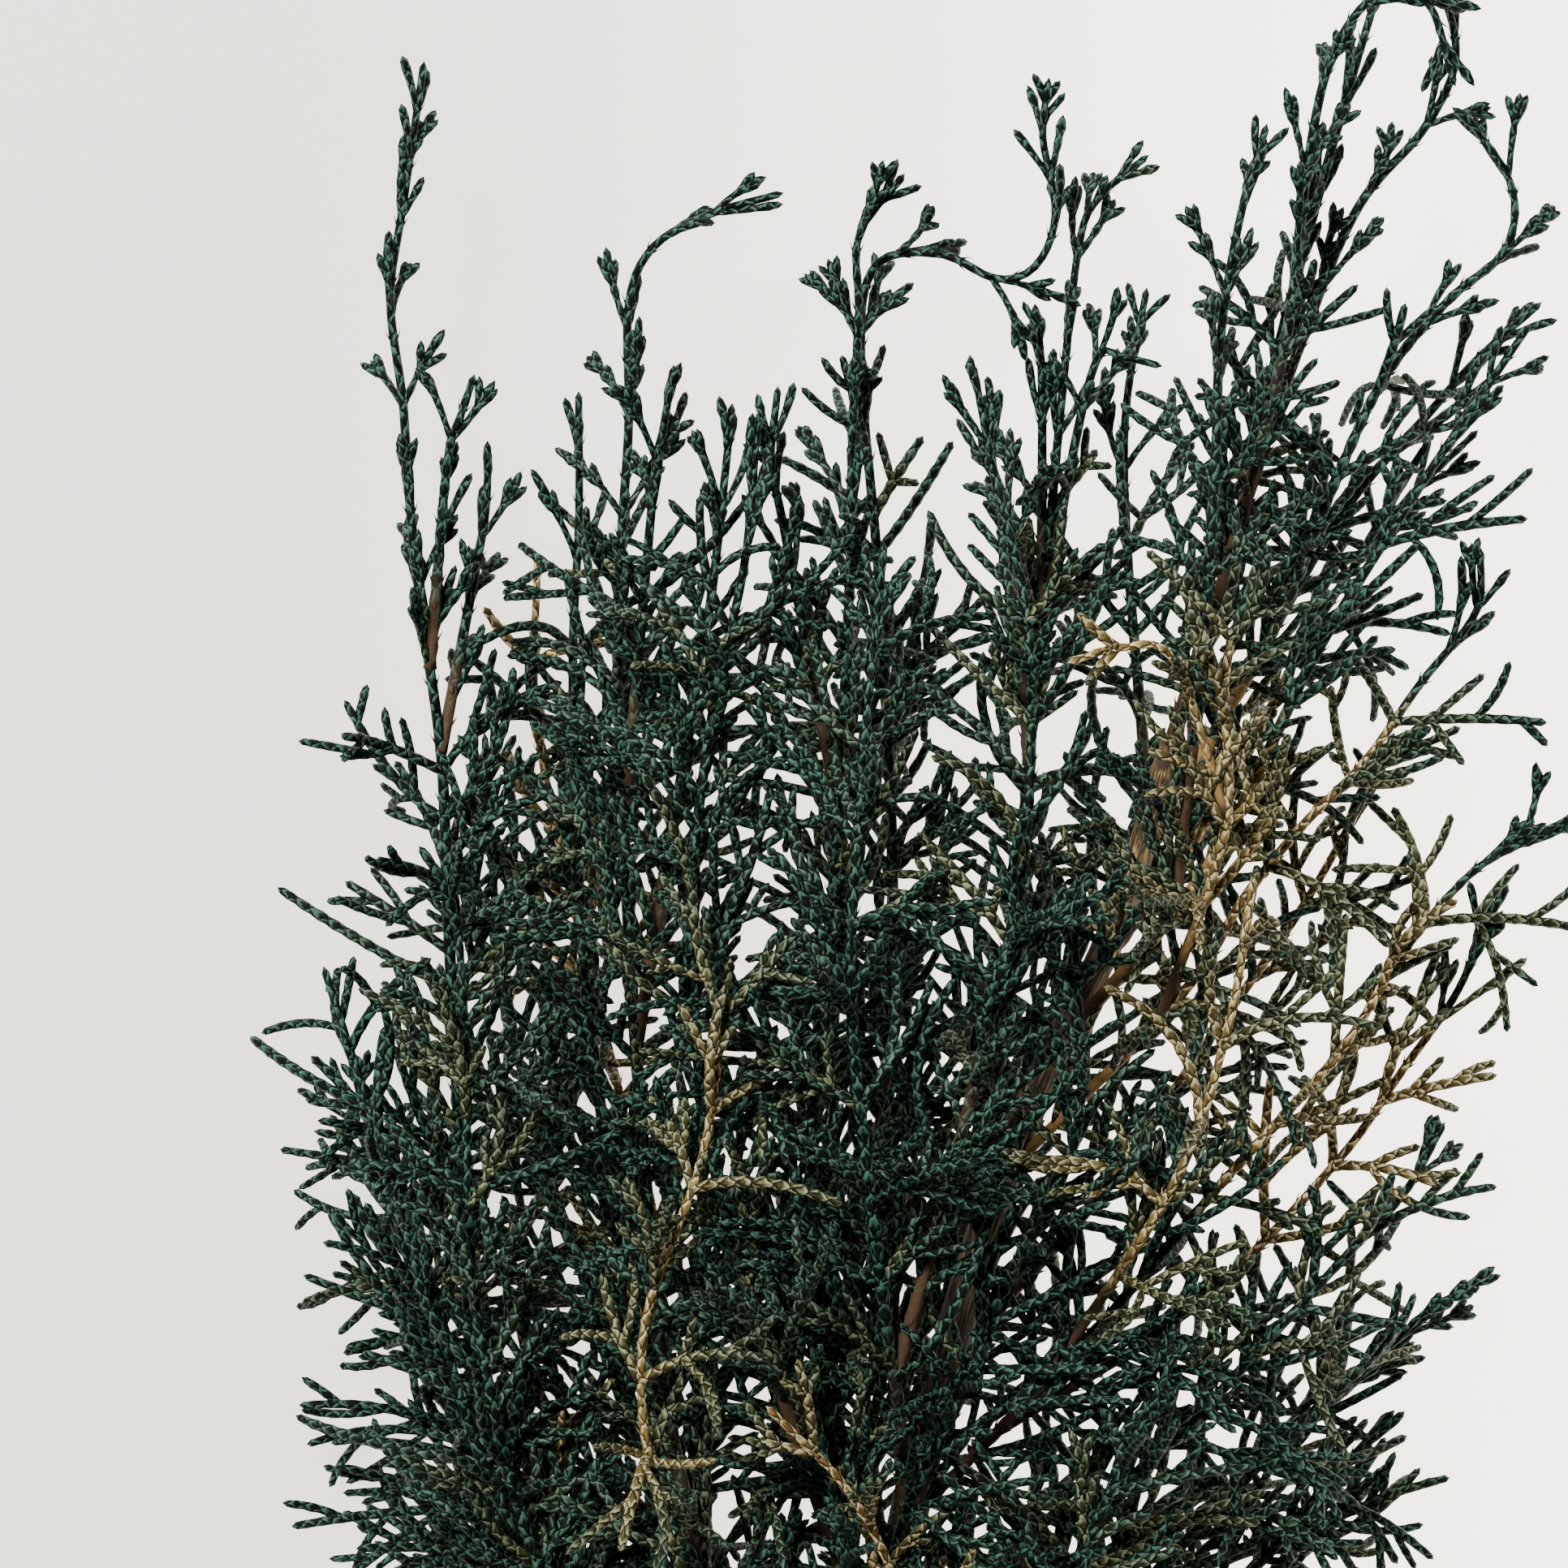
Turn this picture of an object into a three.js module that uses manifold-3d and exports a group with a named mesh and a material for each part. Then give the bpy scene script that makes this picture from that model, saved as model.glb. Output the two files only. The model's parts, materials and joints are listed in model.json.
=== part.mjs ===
// A preserved cypress stem laid down on a table: one woody stem and the leafy branches that grow from it.
// Lengths are in millimetres. +Z is up, +Y runs to the tip of the stem and the table is at z = 0.
import * as THREE from 'three';
import { mergeVertices } from 'three/addons/utils/BufferGeometryUtils.js';
import Module from 'manifold-3d';

const wasm = await Module();
wasm.setup();

// Driving dimensions. A round twig is built as a prism of about the same section, its corners further out.
const TWIG_RADIUS = 0.75;
const PRISM_TO_ROUND = 1.4;
const PRISM_SIDES = 3;
const STEM_RADII = [4.3, 1.9];
const STEM_SIDES = 10;
const LOWEST_TWIG = TWIG_RADIUS;
const SEED = 29;

// Clear distances: round a root where it leaves what carries it, and between the twigs of two branches
const ROOT_GAP = 0.35;
const NODE_GAP = 0.4;

// Side shoots grow in opposite pairs, and so do the twigs on them. Leans are in degrees, turns in radians and
// bends in turns per millimetre. A range is drawn from evenly. Face up says how nearly the fans of shoots lie
// level.
const PAIR_PITCH = 14;
const PAIR_SPREAD = [0.85, 1.15];
const FACE_UP = 1.6;
const SHOOT = {
  lean: [30, 60], whipLean: [16, 32], turn: [-0.5, 0.5], roll: [-0.3, 0.3], size: [0.8, 1.5],
};
const SHOOT_TAPER = 0.35;
const SHOOT_BEND = 0.09;
const WHIP_SHOOT = { shortest: [5, 11], longerBelow: 7, tip: 2, tipShare: 0.9 };
const WHIP_END = { length: 24, pitch: 8 };
const SHORTEST_SHOOT = 4;
const TWIG_PITCH = { body: 6.5, whip: 4.5, spread: [0.75, 1.25], first: [4.5, 9.5], last: 3 };
const TWIG = { lean: [28, 58], roll: [-0.8, 0.8], size: [0.5, 1.2], longest: 22, shortest: 2, taper: 0.9 };
const WHIP_TWIG = { lean: [14, 28], shortest: 1.6, room: 2.4 };
const TWIG_BEND = 0.12;
const DROOP = 0.12;
const TURN_ALONG = { body: [-0.022, 0.026], whip: [0.008, 0.02] };

// A long shoot is built with one of its twigs
const FORKED_SHOOT = 36;
const FORK_TWIG = 1;

// Fineness of the lines: steps between two points of a path, how far a line turns or runs between two rings,
// and the pieces of a shoot, which keeps its full width from its neck to the end of its fourth piece
const CURVE_STEPS = 8;
const CURVE_TENSION = 0.5;
const RING_TURN = THREE.MathUtils.degToRad(13);
const RING_SPACING = 38;
const STEM_STEPS_PER_RING = 4;
const SHOOT_PIECES = 6;
const SHOOT_WIDEST = 4;
const NECK = 2.6;
const NECK_SHARE = 0.35;

// Where the stem and each branch run. A branch has its parent, the distance along the parent at which it
// leaves, its radius there, how far it stays bare, its longest side shoot and the length of its slim whip.
const STEM_PATH = [
  [4, -212, 3.9], [6, -150, 11], [10, -75, 25], [17, -5, 37], [33, 58, 43], [51, 99, 45], [60, 128, 43],
];
const BRANCHES = [
  { name: 'top_leader', leaf: 'green', parent: 'stem', leaves: 351, radius: 1.22,
    bare: 8, reach: 17, whip: 100,
    path: [[69, 156, 41], [77, 190, 40], [84, 216, 38], [92, 243, 36], [97, 258, 34]] },
  { name: 'top_twin', leaf: 'green', parent: 'top_leader', leaves: 22, radius: 1.05,
    bare: 12, reach: 14, whip: 70,
    path: [[71, 165, 50], [77, 190, 52], [80, 214, 50], [84, 232, 47], [91, 242, 46], [99, 241, 46],
      [103, 229, 46]] },
  { name: 'top_whip', leaf: 'green', parent: 'top_leader', leaves: 34, radius: 1.01,
    bare: 12, reach: 12, whip: 85,
    path: [[80, 188, 33], [89, 210, 36], [99, 222, 38], [104, 232, 38], [103, 241, 38], [99, 248, 38]] },
  { name: 'upper_right', leaf: 'green', parent: 'stem', leaves: 330, radius: 1.14,
    bare: 12, reach: 20, whip: 50,
    path: [[75, 144, 46], [84, 166, 50], [92, 183, 50], [102, 195, 48], [111, 203, 46], [112, 213, 45],
      [105, 224, 44]] },
  { name: 'upper_right_low', leaf: 'green', parent: 'upper_right', leaves: 30, radius: 1.05,
    bare: 6, reach: 20, whip: 30,
    path: [[86, 162, 38], [100, 178, 34], [108, 187, 35], [117, 195, 36]] },
  { name: 'upper_front', leaf: 'green', parent: 'stem', leaves: 300, radius: 1.14,
    bare: 16, reach: 19, whip: 30,
    path: [[64, 108, 62], [80, 140, 66], [95, 164, 64], [106, 180, 60], [113, 190, 57]] },
  { name: 'upper_mid', leaf: 'green', parent: 'upper_front', leaves: 30, radius: 1.1,
    bare: 12, reach: 20, whip: 50,
    path: [[63, 140, 66], [65, 168, 66], [66, 188, 63], [69, 206, 61], [73, 220, 60]] },
  { name: 'upper_under', leaf: 'green', parent: 'stem', leaves: 310, radius: 1.1,
    bare: 14, reach: 21, whip: 20,
    path: [[68, 118, 30], [84, 146, 20], [97, 164, 18], [109, 176, 19]] },
  { name: 'upper_under_mid', leaf: 'green', parent: 'upper_under', leaves: 20, radius: 1.1,
    bare: 14, reach: 22, whip: 35,
    path: [[56, 134, 22], [54, 162, 19], [54, 180, 20], [57, 198, 22]] },
  { name: 'far_left', leaf: 'green', parent: 'stem', leaves: 98, radius: 1.43,
    bare: 30, reach: 26, whip: 105,
    path: [[-12, -78, 30], [-36, -28, 37], [-47, 22, 38], [-50, 62, 38], [-52, 100, 40], [-53, 125, 41],
      [-56, 147, 41], [-58, 165, 40], [-59, 180, 40], [-61, 196, 39], [-59, 211, 38], [-56, 232, 37]] },
  { name: 'far_left_low', leaf: 'green', parent: 'far_left', leaves: 22, radius: 1.14,
    bare: 14, reach: 22, whip: 0,
    path: [[-22, -72, 18], [-37, -42, 14], [-46, -12, 18], [-49, 18, 23]] },
  { name: 'far_left_under', leaf: 'green', parent: 'far_left', leaves: 48, radius: 1.14,
    bare: 14, reach: 24, whip: 10,
    path: [[-34, -42, 18], [-44, -10, 7], [-54, 20, 1], [-62, 50, 3]] },
  { name: 'far_left_side', leaf: 'green', parent: 'far_left', leaves: 78, radius: 1.18,
    bare: 12, reach: 24, whip: 15,
    path: [[-42, -12, 33], [-51, 24, 28], [-62, 54, 25], [-71, 77, 24]] },
  { name: 'far_left_twin', leaf: 'green', parent: 'far_left', leaves: 268, radius: 1,
    bare: 6, reach: 12, whip: 40,
    path: [[-52, 170, 43], [-50, 177, 44], [-48, 183, 44]] },
  { name: 'far_left_third', leaf: 'green', parent: 'far_left', leaves: 255, radius: 1,
    bare: 8, reach: 12, whip: 40,
    path: [[-48, 154, 35], [-46.5, 163, 34], [-46, 172, 34]] },
  { name: 'left_front', leaf: 'green', parent: 'stem', leaves: 134, radius: 1.31,
    bare: 26, reach: 24, whip: 0,
    path: [[-12, -46, 50], [-34, -6, 64], [-46, 40, 70], [-48, 84, 68], [-50, 108, 64]] },
  { name: 'left_front_low', leaf: 'green', parent: 'left_front', leaves: 34, radius: 1.14,
    bare: 10, reach: 24, whip: 0,
    path: [[-24, -30, 54], [-39, 2, 54], [-49, 30, 54]] },
  { name: 'left_front_side', leaf: 'green', parent: 'left_front', leaves: 62, radius: 1.18,
    bare: 12, reach: 25, whip: 10,
    path: [[-44, 14, 60], [-55, 48, 60], [-64, 74, 57], [-70, 92, 54]] },
  { name: 'left_leader', leaf: 'green', parent: 'stem', leaves: 154, radius: 1.35,
    bare: 34, reach: 28, whip: 75,
    path: [[-4, -26, 46], [-17, 20, 50], [-22, 70, 48], [-25, 120, 45], [-25.5, 150, 43], [-24, 176, 42],
      [-24, 195, 41], [-20, 204, 41], [-11, 209, 41], [-1, 212, 40]] },
  { name: 'left_leader_low', leaf: 'green', parent: 'left_leader', leaves: 72, radius: 1.18,
    bare: 14, reach: 26, whip: 40,
    path: [[-24, 44, 38], [-31, 90, 30], [-33, 136, 30], [-32, 162, 32], [-32, 181, 33]] },
  { name: 'left_leader_side', leaf: 'green', parent: 'left_leader', leaves: 186, radius: 1,
    bare: 8, reach: 12, whip: 40,
    path: [[-20, 166, 50], [-18.5, 175, 51], [-17, 184, 51]] },
  { name: 'left_leader_fan', leaf: 'green', parent: 'left_leader', leaves: 150, radius: 1.05,
    bare: 10, reach: 18, whip: 40,
    path: [[-14, 132, 54], [-11, 150, 55], [-9, 168, 54], [-8, 178, 53]] },
  { name: 'left_under', leaf: 'green', parent: 'stem', leaves: 172, radius: 1.22,
    bare: 18, reach: 25, whip: 15,
    path: [[-8, -12, 20], [-26, 26, 9], [-40, 66, 3], [-46, 98, 1], [-48, 128, 3]] },
  { name: 'left_tan', leaf: 'gold', parent: 'left_under', leaves: 70, radius: 1.1,
    bare: 16, reach: 18, whip: 0,
    path: [[-24, 60, 16], [-32, 96, 18], [-39, 130, 19], [-39, 156, 19]] },
  { name: 'centre_leader', leaf: 'green', parent: 'stem', leaves: 185, radius: 1.35,
    bare: 30, reach: 27, whip: 60,
    path: [[8, 10, 53], [4, 60, 55], [8, 110, 52], [10, 150, 50], [10.5, 175, 48], [11.5, 193, 47],
      [11.5, 205, 46], [18, 214, 45]] },
  { name: 'arched_whip', leaf: 'green', parent: 'centre_leader', leaves: 66, radius: 1.14,
    bare: 24, reach: 20, whip: 75,
    path: [[14, 60, 36], [17, 100, 29], [15, 150, 30], [12, 186, 33], [14, 201, 36], [24, 203, 38],
      [33, 199, 39], [39, 201, 40], [42, 209, 40], [40, 222, 40], [43, 227, 40]] },
  { name: 'centre_fan', leaf: 'green', parent: 'centre_leader', leaves: 34, radius: 1.22,
    bare: 20, reach: 26, whip: 30,
    path: [[2, 22, 66], [-10, 62, 73], [-14, 98, 72], [-11, 130, 67], [-6, 154, 62], [-4, 176, 58]] },
  { name: 'centre_leader_side', leaf: 'green', parent: 'centre_leader', leaves: 152, radius: 1.05,
    bare: 10, reach: 14, whip: 40,
    path: [[0, 160, 48], [-2, 170, 48], [-1, 181, 47]] },
  { name: 'centre_front', leaf: 'green', parent: 'stem', leaves: 198, radius: 1.26,
    bare: 22, reach: 25, whip: 20,
    path: [[18, 16, 60], [14, 50, 74], [10, 90, 80], [12, 126, 77], [15, 156, 70]] },
  { name: 'centre_side', leaf: 'green', parent: 'centre_front', leaves: 28, radius: 1.14,
    bare: 12, reach: 24, whip: 0,
    path: [[32, 42, 66], [44, 68, 68], [44, 98, 64]] },
  { name: 'right_low_leader', leaf: 'green', parent: 'centre_front', leaves: 58, radius: 1.14,
    bare: 14, reach: 23, whip: 30,
    path: [[28, 74, 74], [36, 110, 70], [37, 144, 62], [32, 168, 56], [29, 184, 54]] },
  { name: 'centre_under', leaf: 'green', parent: 'stem', leaves: 206, radius: 1.18,
    bare: 18, reach: 25, whip: 20,
    path: [[12, 30, 18], [8, 66, 7], [10, 104, 1], [19, 138, 3], [24, 162, 8]] },
  { name: 'centre_under_side', leaf: 'green', parent: 'centre_under', leaves: 26, radius: 1.14,
    bare: 14, reach: 24, whip: 0,
    path: [[26, 48, 11], [40, 76, 4], [52, 104, 3]] },
  { name: 'right_leader', leaf: 'green', parent: 'stem', leaves: 232, radius: 1.22,
    bare: 20, reach: 24, whip: 70,
    path: [[28, 48, 26], [35, 84, 26], [38, 120, 29], [41, 155, 32], [43.5, 183, 33], [46, 205, 34],
      [49, 212, 34], [56, 218, 35]] },
  { name: 'right_leader_side', leaf: 'green', parent: 'right_leader', leaves: 112, radius: 1.05,
    bare: 8, reach: 14, whip: 40,
    path: [[36, 160, 26], [33, 170, 24], [32, 181, 24]] },
  { name: 'right_leader_arm', leaf: 'green', parent: 'right_leader', leaves: 137, radius: 0.95,
    bare: 4, reach: 8, whip: 30,
    path: [[48, 185, 34], [53, 187, 34], [58, 186, 34]] },
  { name: 'right_leader_spur', leaf: 'green', parent: 'right_leader', leaves: 134, radius: 0.95,
    bare: 4, reach: 8, whip: 30,
    path: [[40, 187, 34], [37.5, 195, 35]] },
  { name: 'right_gold', leaf: 'gold', parent: 'stem', leaves: 222, radius: 1.31,
    bare: 16, reach: 24, whip: 30,
    path: [[46, 36, 56], [66, 60, 62], [84, 80, 62], [94, 95, 58], [105, 107, 52], [114, 112, 48],
      [122, 116, 46]] },
  { name: 'right_gold_high', leaf: 'gold', parent: 'right_gold', leaves: 32, radius: 1.14,
    bare: 10, reach: 22, whip: 0,
    path: [[58, 60, 72], [66, 84, 78], [70, 106, 76]] },
  { name: 'right_brown', leaf: 'gold', parent: 'right_gold', leaves: 22, radius: 1.18,
    bare: 10, reach: 21, whip: 25,
    path: [[62, 40, 50], [84, 62, 50], [95, 77, 49], [104, 90, 48], [109, 104, 46]] },
  { name: 'upper_gold', leaf: 'gold', parent: 'stem', leaves: 278, radius: 1.22,
    bare: 12, reach: 24, whip: 25,
    path: [[60, 88, 56], [70, 104, 62], [79, 115, 62], [88, 124, 60], [97, 136, 55], [106, 147, 50],
      [107, 156, 48]] },
  { name: 'upper_gold_fan', leaf: 'gold', parent: 'upper_gold', leaves: 36, radius: 1.14,
    bare: 10, reach: 24, whip: 15,
    path: [[66, 114, 74], [66, 138, 76], [72, 156, 72]] },
  { name: 'pale_gold', leaf: 'gold', parent: 'upper_gold_fan', leaves: 38, radius: 1,
    bare: 7, reach: 9, whip: 0,
    path: [[58, 139, 80], [50, 141, 81], [43, 139, 81]] },
  { name: 'right_low', leaf: 'green', parent: 'stem', leaves: 159, radius: 1.31,
    bare: 18, reach: 24, whip: 20,
    path: [[34, -26, 42], [60, 2, 44], [84, 26, 42], [99, 38, 40], [109, 45, 38]] },
  { name: 'right_low_front', leaf: 'green', parent: 'right_low', leaves: 38, radius: 1.18,
    bare: 12, reach: 23, whip: 15,
    path: [[48, 8, 54], [66, 28, 58], [84, 47, 55], [95, 58, 50], [101, 68, 48]] },
  { name: 'right_low_under', leaf: 'green', parent: 'right_low', leaves: 30, radius: 1.18,
    bare: 12, reach: 24, whip: 15,
    path: [[46, -4, 30], [66, 10, 22], [84, 22, 19], [99, 32, 18]] },
  { name: 'low_front', leaf: 'green', parent: 'right_low', leaves: 16, radius: 1.18,
    bare: 14, reach: 25, whip: 0,
    path: [[32, -22, 60], [46, 8, 70], [58, 34, 72]] },
  { name: 'right_base', leaf: 'green', parent: 'stem', leaves: 124, radius: 1.26,
    bare: 16, reach: 25, whip: 0,
    path: [[32, -62, 24], [54, -36, 19], [74, -12, 17], [86, 4, 18]] },
  { name: 'right_base_high', leaf: 'green', parent: 'right_base', leaves: 22, radius: 1.18,
    bare: 12, reach: 25, whip: 10,
    path: [[42, -40, 34], [62, -14, 32], [82, 8, 30], [95, 22, 28]] },
  { name: 'right_base_low', leaf: 'green', parent: 'right_base', leaves: 12, radius: 1.14,
    bare: 12, reach: 22, whip: 0,
    path: [[34, -76, 9], [50, -54, 3], [64, -30, 1], [72, -14, 3]] },
  { name: 'right_under', leaf: 'green', parent: 'stem', leaves: 248, radius: 1.14,
    bare: 14, reach: 24, whip: 10,
    path: [[50, 56, 20], [68, 80, 7], [84, 102, 1], [96, 124, 3]] },
  { name: 'low_centre', leaf: 'green', parent: 'stem', leaves: 108, radius: 1.22,
    bare: 26, reach: 26, whip: 0,
    path: [[12, -62, 44], [18, -30, 60], [10, 2, 68], [4, 30, 66]] },
  { name: 'centre_gold', leaf: 'gold', parent: 'low_centre', leaves: 56, radius: 1.18,
    bare: 46, reach: 24, whip: 0,
    path: [[0, -30, 64], [-17, 8, 76], [-21, 38, 82], [-12, 66, 85], [-8, 94, 84]] },
  { name: 'centre_tan', leaf: 'gold', parent: 'low_centre', leaves: 82, radius: 1.1,
    bare: 10, reach: 18, whip: 0,
    path: [[17, -2, 74], [10, 15, 80], [-2, 28, 84]] },
  { name: 'left_low_tan', leaf: 'gold', parent: 'left_front', leaves: 22, radius: 1.14,
    bare: 14, reach: 20, whip: 0,
    path: [[-18, -46, 36], [-30, -18, 48], [-34, 6, 50], [-34, 26, 50]] },
  { name: 'under_left', leaf: 'green', parent: 'stem', leaves: 140, radius: 1.18,
    bare: 12, reach: 24, whip: 0,
    path: [[0, -46, 12], [-14, -14, 5], [-24, 20, 4]] },
  { name: 'under_right', leaf: 'green', parent: 'under_left', leaves: 12, radius: 1.14,
    bare: 10, reach: 24, whip: 0,
    path: [[18, -40, 8], [32, -12, 6], [44, 16, 6]] },
];

const LEAF_LOOKS = {
  green: { color: 0x2c4a40, roughness: 0.75 },
  gold: { color: 0x8a7040, roughness: 0.75 },
};
const BARK_LOOK = { color: 0x6b4f30, roughness: 0.85 };

// A repeatable run of numbers from 0 to 1 for the shoot that the keys name
function drawsFor(...keys) {
  let state = SEED;
  for (const key of keys) {
    state = Math.imul(state ^ key, 2654435761) >>> 0;
    state = (state ^ (state >>> 15)) >>> 0;
  }
  return () => {
    state = (state + 0x6d2b79f5) >>> 0;
    let mixed = Math.imul(state ^ (state >>> 15), state | 1);
    mixed = (mixed + Math.imul(mixed ^ (mixed >>> 7), mixed | 61)) ^ mixed;
    return ((mixed ^ (mixed >>> 14)) >>> 0) / 2 ** 32;
  };
}

// Lines in space
function smoothLine(points) {
  const curve = new THREE.CatmullRomCurve3(points, false, 'catmullrom', CURVE_TENSION);
  return curve.getPoints(CURVE_STEPS * (points.length - 1));
}

function lengthOf(line) {
  let length = 0;
  for (let i = 1; i < line.length; i += 1) length += line[i].distanceTo(line[i - 1]);
  return length;
}

function placeOn(line, distance) {
  let left = distance;
  let i = 1;
  while (i < line.length - 1 && left > line[i].distanceTo(line[i - 1])) {
    left -= line[i].distanceTo(line[i - 1]);
    i += 1;
  }
  const forward = line[i].clone().sub(line[i - 1]).normalize();
  return { point: line[i - 1].clone().addScaledVector(forward, left), forward };
}

// A shoot leaves its start along a direction and turns steadily by bend, sliding along the table
function shootLine(start, direction, bend, length) {
  const step = length / SHOOT_PIECES;
  const heading = direction.clone().normalize();
  const line = [start.clone()];
  for (let i = 0; i < SHOOT_PIECES; i += 1) {
    heading.addScaledVector(bend, step).normalize();
    const next = line[i].clone().addScaledVector(heading, step);
    if (next.z < LOWEST_TWIG) {
      next.z = LOWEST_TWIG;
      heading.setZ(Math.max(heading.z, 0)).normalize();
    }
    line.push(next);
  }
  return line;
}

// The direction of a shoot that leans out from its parent by lean, turned by roll about the parent
function leaningOut(forward, face, roll, lean, side) {
  const across = face.clone().cross(forward).normalize();
  const up = forward.clone().cross(across);
  const outward = across.multiplyScalar(Math.cos(roll) * side).addScaledVector(up, Math.sin(roll) * side);
  return forward.clone().multiplyScalar(Math.cos(lean)).addScaledVector(outward, Math.sin(lean));
}

function within([low, high], chance) {
  return low + (high - low) * chance;
}

// The steady turn of a shoot, which turns along its parent on a whip and either way elsewhere
function bendOf(forward, strength, slender, chance) {
  const bend = new THREE.Vector3(chance() - 0.5, chance() - 0.5, chance() - 0.5 - DROOP);
  const along = within(slender ? TURN_ALONG.whip : TURN_ALONG.body, chance());
  return bend.multiplyScalar(strength).addScaledVector(forward, along);
}

// The side shoots of a branch, in opposite pairs, each pair turned about a quarter from the last
function sideShoots(branch, index) {
  const total = lengthOf(branch.line);
  const draw = drawsFor(index);
  const face = new THREE.Vector3(draw() - 0.5, draw() - 0.5, FACE_UP).normalize();
  const shoots = [];
  let distance = branch.bare;
  for (let pair = 0; distance < total - SHORTEST_SHOOT; pair += 1) {
    const { point, forward } = placeOn(branch.line, distance);
    const slender = total - distance < branch.whip;
    const turn = (pair % 2) * Math.PI / 2 + within(SHOOT.turn, draw());
    for (const side of [1, -1]) {
      const keys = [index, pair, side + 2];
      const chance = drawsFor(...keys);
      const roll = turn + within(SHOOT.roll, chance());
      const lean = THREE.MathUtils.degToRad(within(slender ? SHOOT.whipLean : SHOOT.lean, chance()));
      const length = shootLength(branch, distance, total, chance());
      const bend = bendOf(forward, SHOOT_BEND, slender, chance);
      const line = shootLine(point, leaningOut(forward, face, roll, lean, side), bend, length);
      shoots.push({ line, length, slender, face, pair, side, keys, share: distance / total });
    }
    const atWhipEnd = slender && total - distance < WHIP_END.length;
    distance += (atWhipEnd ? WHIP_END.pitch : PAIR_PITCH) * within(PAIR_SPREAD, draw());
  }
  return shoots;
}

function shootLength(branch, distance, total, chance) {
  const left = total - distance;
  if (left < branch.whip) {
    const length = within(WHIP_SHOOT.shortest, chance) + WHIP_SHOOT.longerBelow * left / branch.whip;
    return Math.min(length, left * WHIP_SHOOT.tipShare + WHIP_SHOOT.tip);
  }
  const share = (distance - branch.bare) / (total - branch.bare);
  return branch.reach * (1 - SHOOT_TAPER * share) * within(SHOOT.size, chance);
}

// The twigs of a side shoot, in opposite pairs
function sideTwigs(shoot) {
  const draw = drawsFor(...shoot.keys, 0);
  const pitch = shoot.slender ? TWIG_PITCH.whip : TWIG_PITCH.body;
  const twigs = [];
  let distance = within(TWIG_PITCH.first, draw());
  while (distance < shoot.length - TWIG_PITCH.last) {
    const { point, forward } = placeOn(shoot.line, distance);
    const turn = within(TWIG.roll, draw());
    for (const side of [1, -1]) {
      const chance = drawsFor(...shoot.keys, twigs.length + 1);
      const roll = turn + within(SHOOT.roll, chance());
      const lean = THREE.MathUtils.degToRad(within((shoot.slender ? WHIP_TWIG : TWIG).lean, chance()));
      const length = twigLength(shoot, distance, within(TWIG.size, chance()));
      const bend = bendOf(forward, TWIG_BEND, shoot.slender, chance);
      const line = shootLine(point, leaningOut(forward, shoot.face, roll, lean, side), bend, length);
      twigs.push({ line, length, share: distance / shoot.length });
    }
    distance += pitch * within(TWIG_PITCH.spread, draw());
  }
  return twigs;
}

function twigLength(shoot, distance, size) {
  if (shoot.slender) return WHIP_TWIG.shortest + WHIP_TWIG.room * size;
  return Math.min(TWIG.longest, TWIG.shortest + (shoot.length - distance) * TWIG.taper) * size;
}

// The branches with their lines, their nodes and their side shoots
function growPlant() {
  const stem = { name: 'stem', node: 'stem', leaf: 'none', line: smoothLine(STEM_PATH.map(vector)) };
  const plant = new Map([[stem.name, stem]]);
  BRANCHES.forEach((plan, index) => {
    const parent = plant.get(plan.parent);
    const { point } = placeOn(parent.line, plan.leaves);
    const branch = { ...plan, above: parent, line: smoothLine([point, ...plan.path.map(vector)]) };
    branch.node = parent.leaf === plan.leaf ? parent.node : plan.name;
    branch.rings = ringPoints(branch.line);
    branch.shoots = sideShoots(branch, index);
    plant.set(plan.name, branch);
  });
  return plant;
}

function vector([x, y, z]) {
  return new THREE.Vector3(x, y, z);
}

// A closed tube of flat faces along a line. A first or last radius of 0 makes that end a point.
function tube(line, radii, sides) {
  const positions = [];
  const rings = [];
  const across = sidewaysOf(line[1].clone().sub(line[0]));
  line.forEach((centre, i) => {
    const forward = line[Math.min(i + 1, line.length - 1)].clone().sub(line[Math.max(i - 1, 0)]).normalize();
    across.addScaledVector(forward, -across.dot(forward)).normalize();
    const other = forward.clone().cross(across);
    const ring = [];
    for (let k = 0; k < (radii[i] === 0 ? 1 : sides); k += 1) {
      const angle = 2 * Math.PI * k / sides;
      const corner = centre.clone().addScaledVector(across, radii[i] * Math.cos(angle));
      ring.push(positions.length / 3);
      positions.push(...corner.addScaledVector(other, radii[i] * Math.sin(angle)));
    }
    rings.push(ring);
  });
  const geometry = new THREE.BufferGeometry();
  geometry.setAttribute('position', new THREE.Float32BufferAttribute(positions, 3));
  geometry.setIndex([...wallFaces(rings, sides), ...capFaces(rings[0]).reverse(), ...capFaces(rings.at(-1))]);
  return geometry;
}

function wallFaces(rings, sides) {
  const faces = [];
  rings.slice(1).forEach((ring, i) => {
    const before = rings[i];
    for (let k = 0; k < sides; k += 1) {
      const next = (k + 1) % sides;
      if (before.length > 1) faces.push(before[k], before[next], ring[next % ring.length]);
      if (ring.length > 1) faces.push(before[k % before.length], ring[next], ring[k]);
    }
  });
  return faces;
}

function capFaces(ring) {
  return ring.slice(2).flatMap((corner, k) => [ring[0], ring[k + 1], corner]);
}

// A direction square to another one, level unless that one is nearly upright
function sidewaysOf(direction) {
  const nearlyUpright = direction.angleTo(vector([0, 0, Math.sign(direction.z)])) < Math.PI / 7;
  return vector(nearlyUpright ? [1, 0, 0] : [0, 0, 1]).cross(direction).normalize();
}

// Joining and cutting. Points closer than weld are one point.
const WELD = 1e-5;

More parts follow.
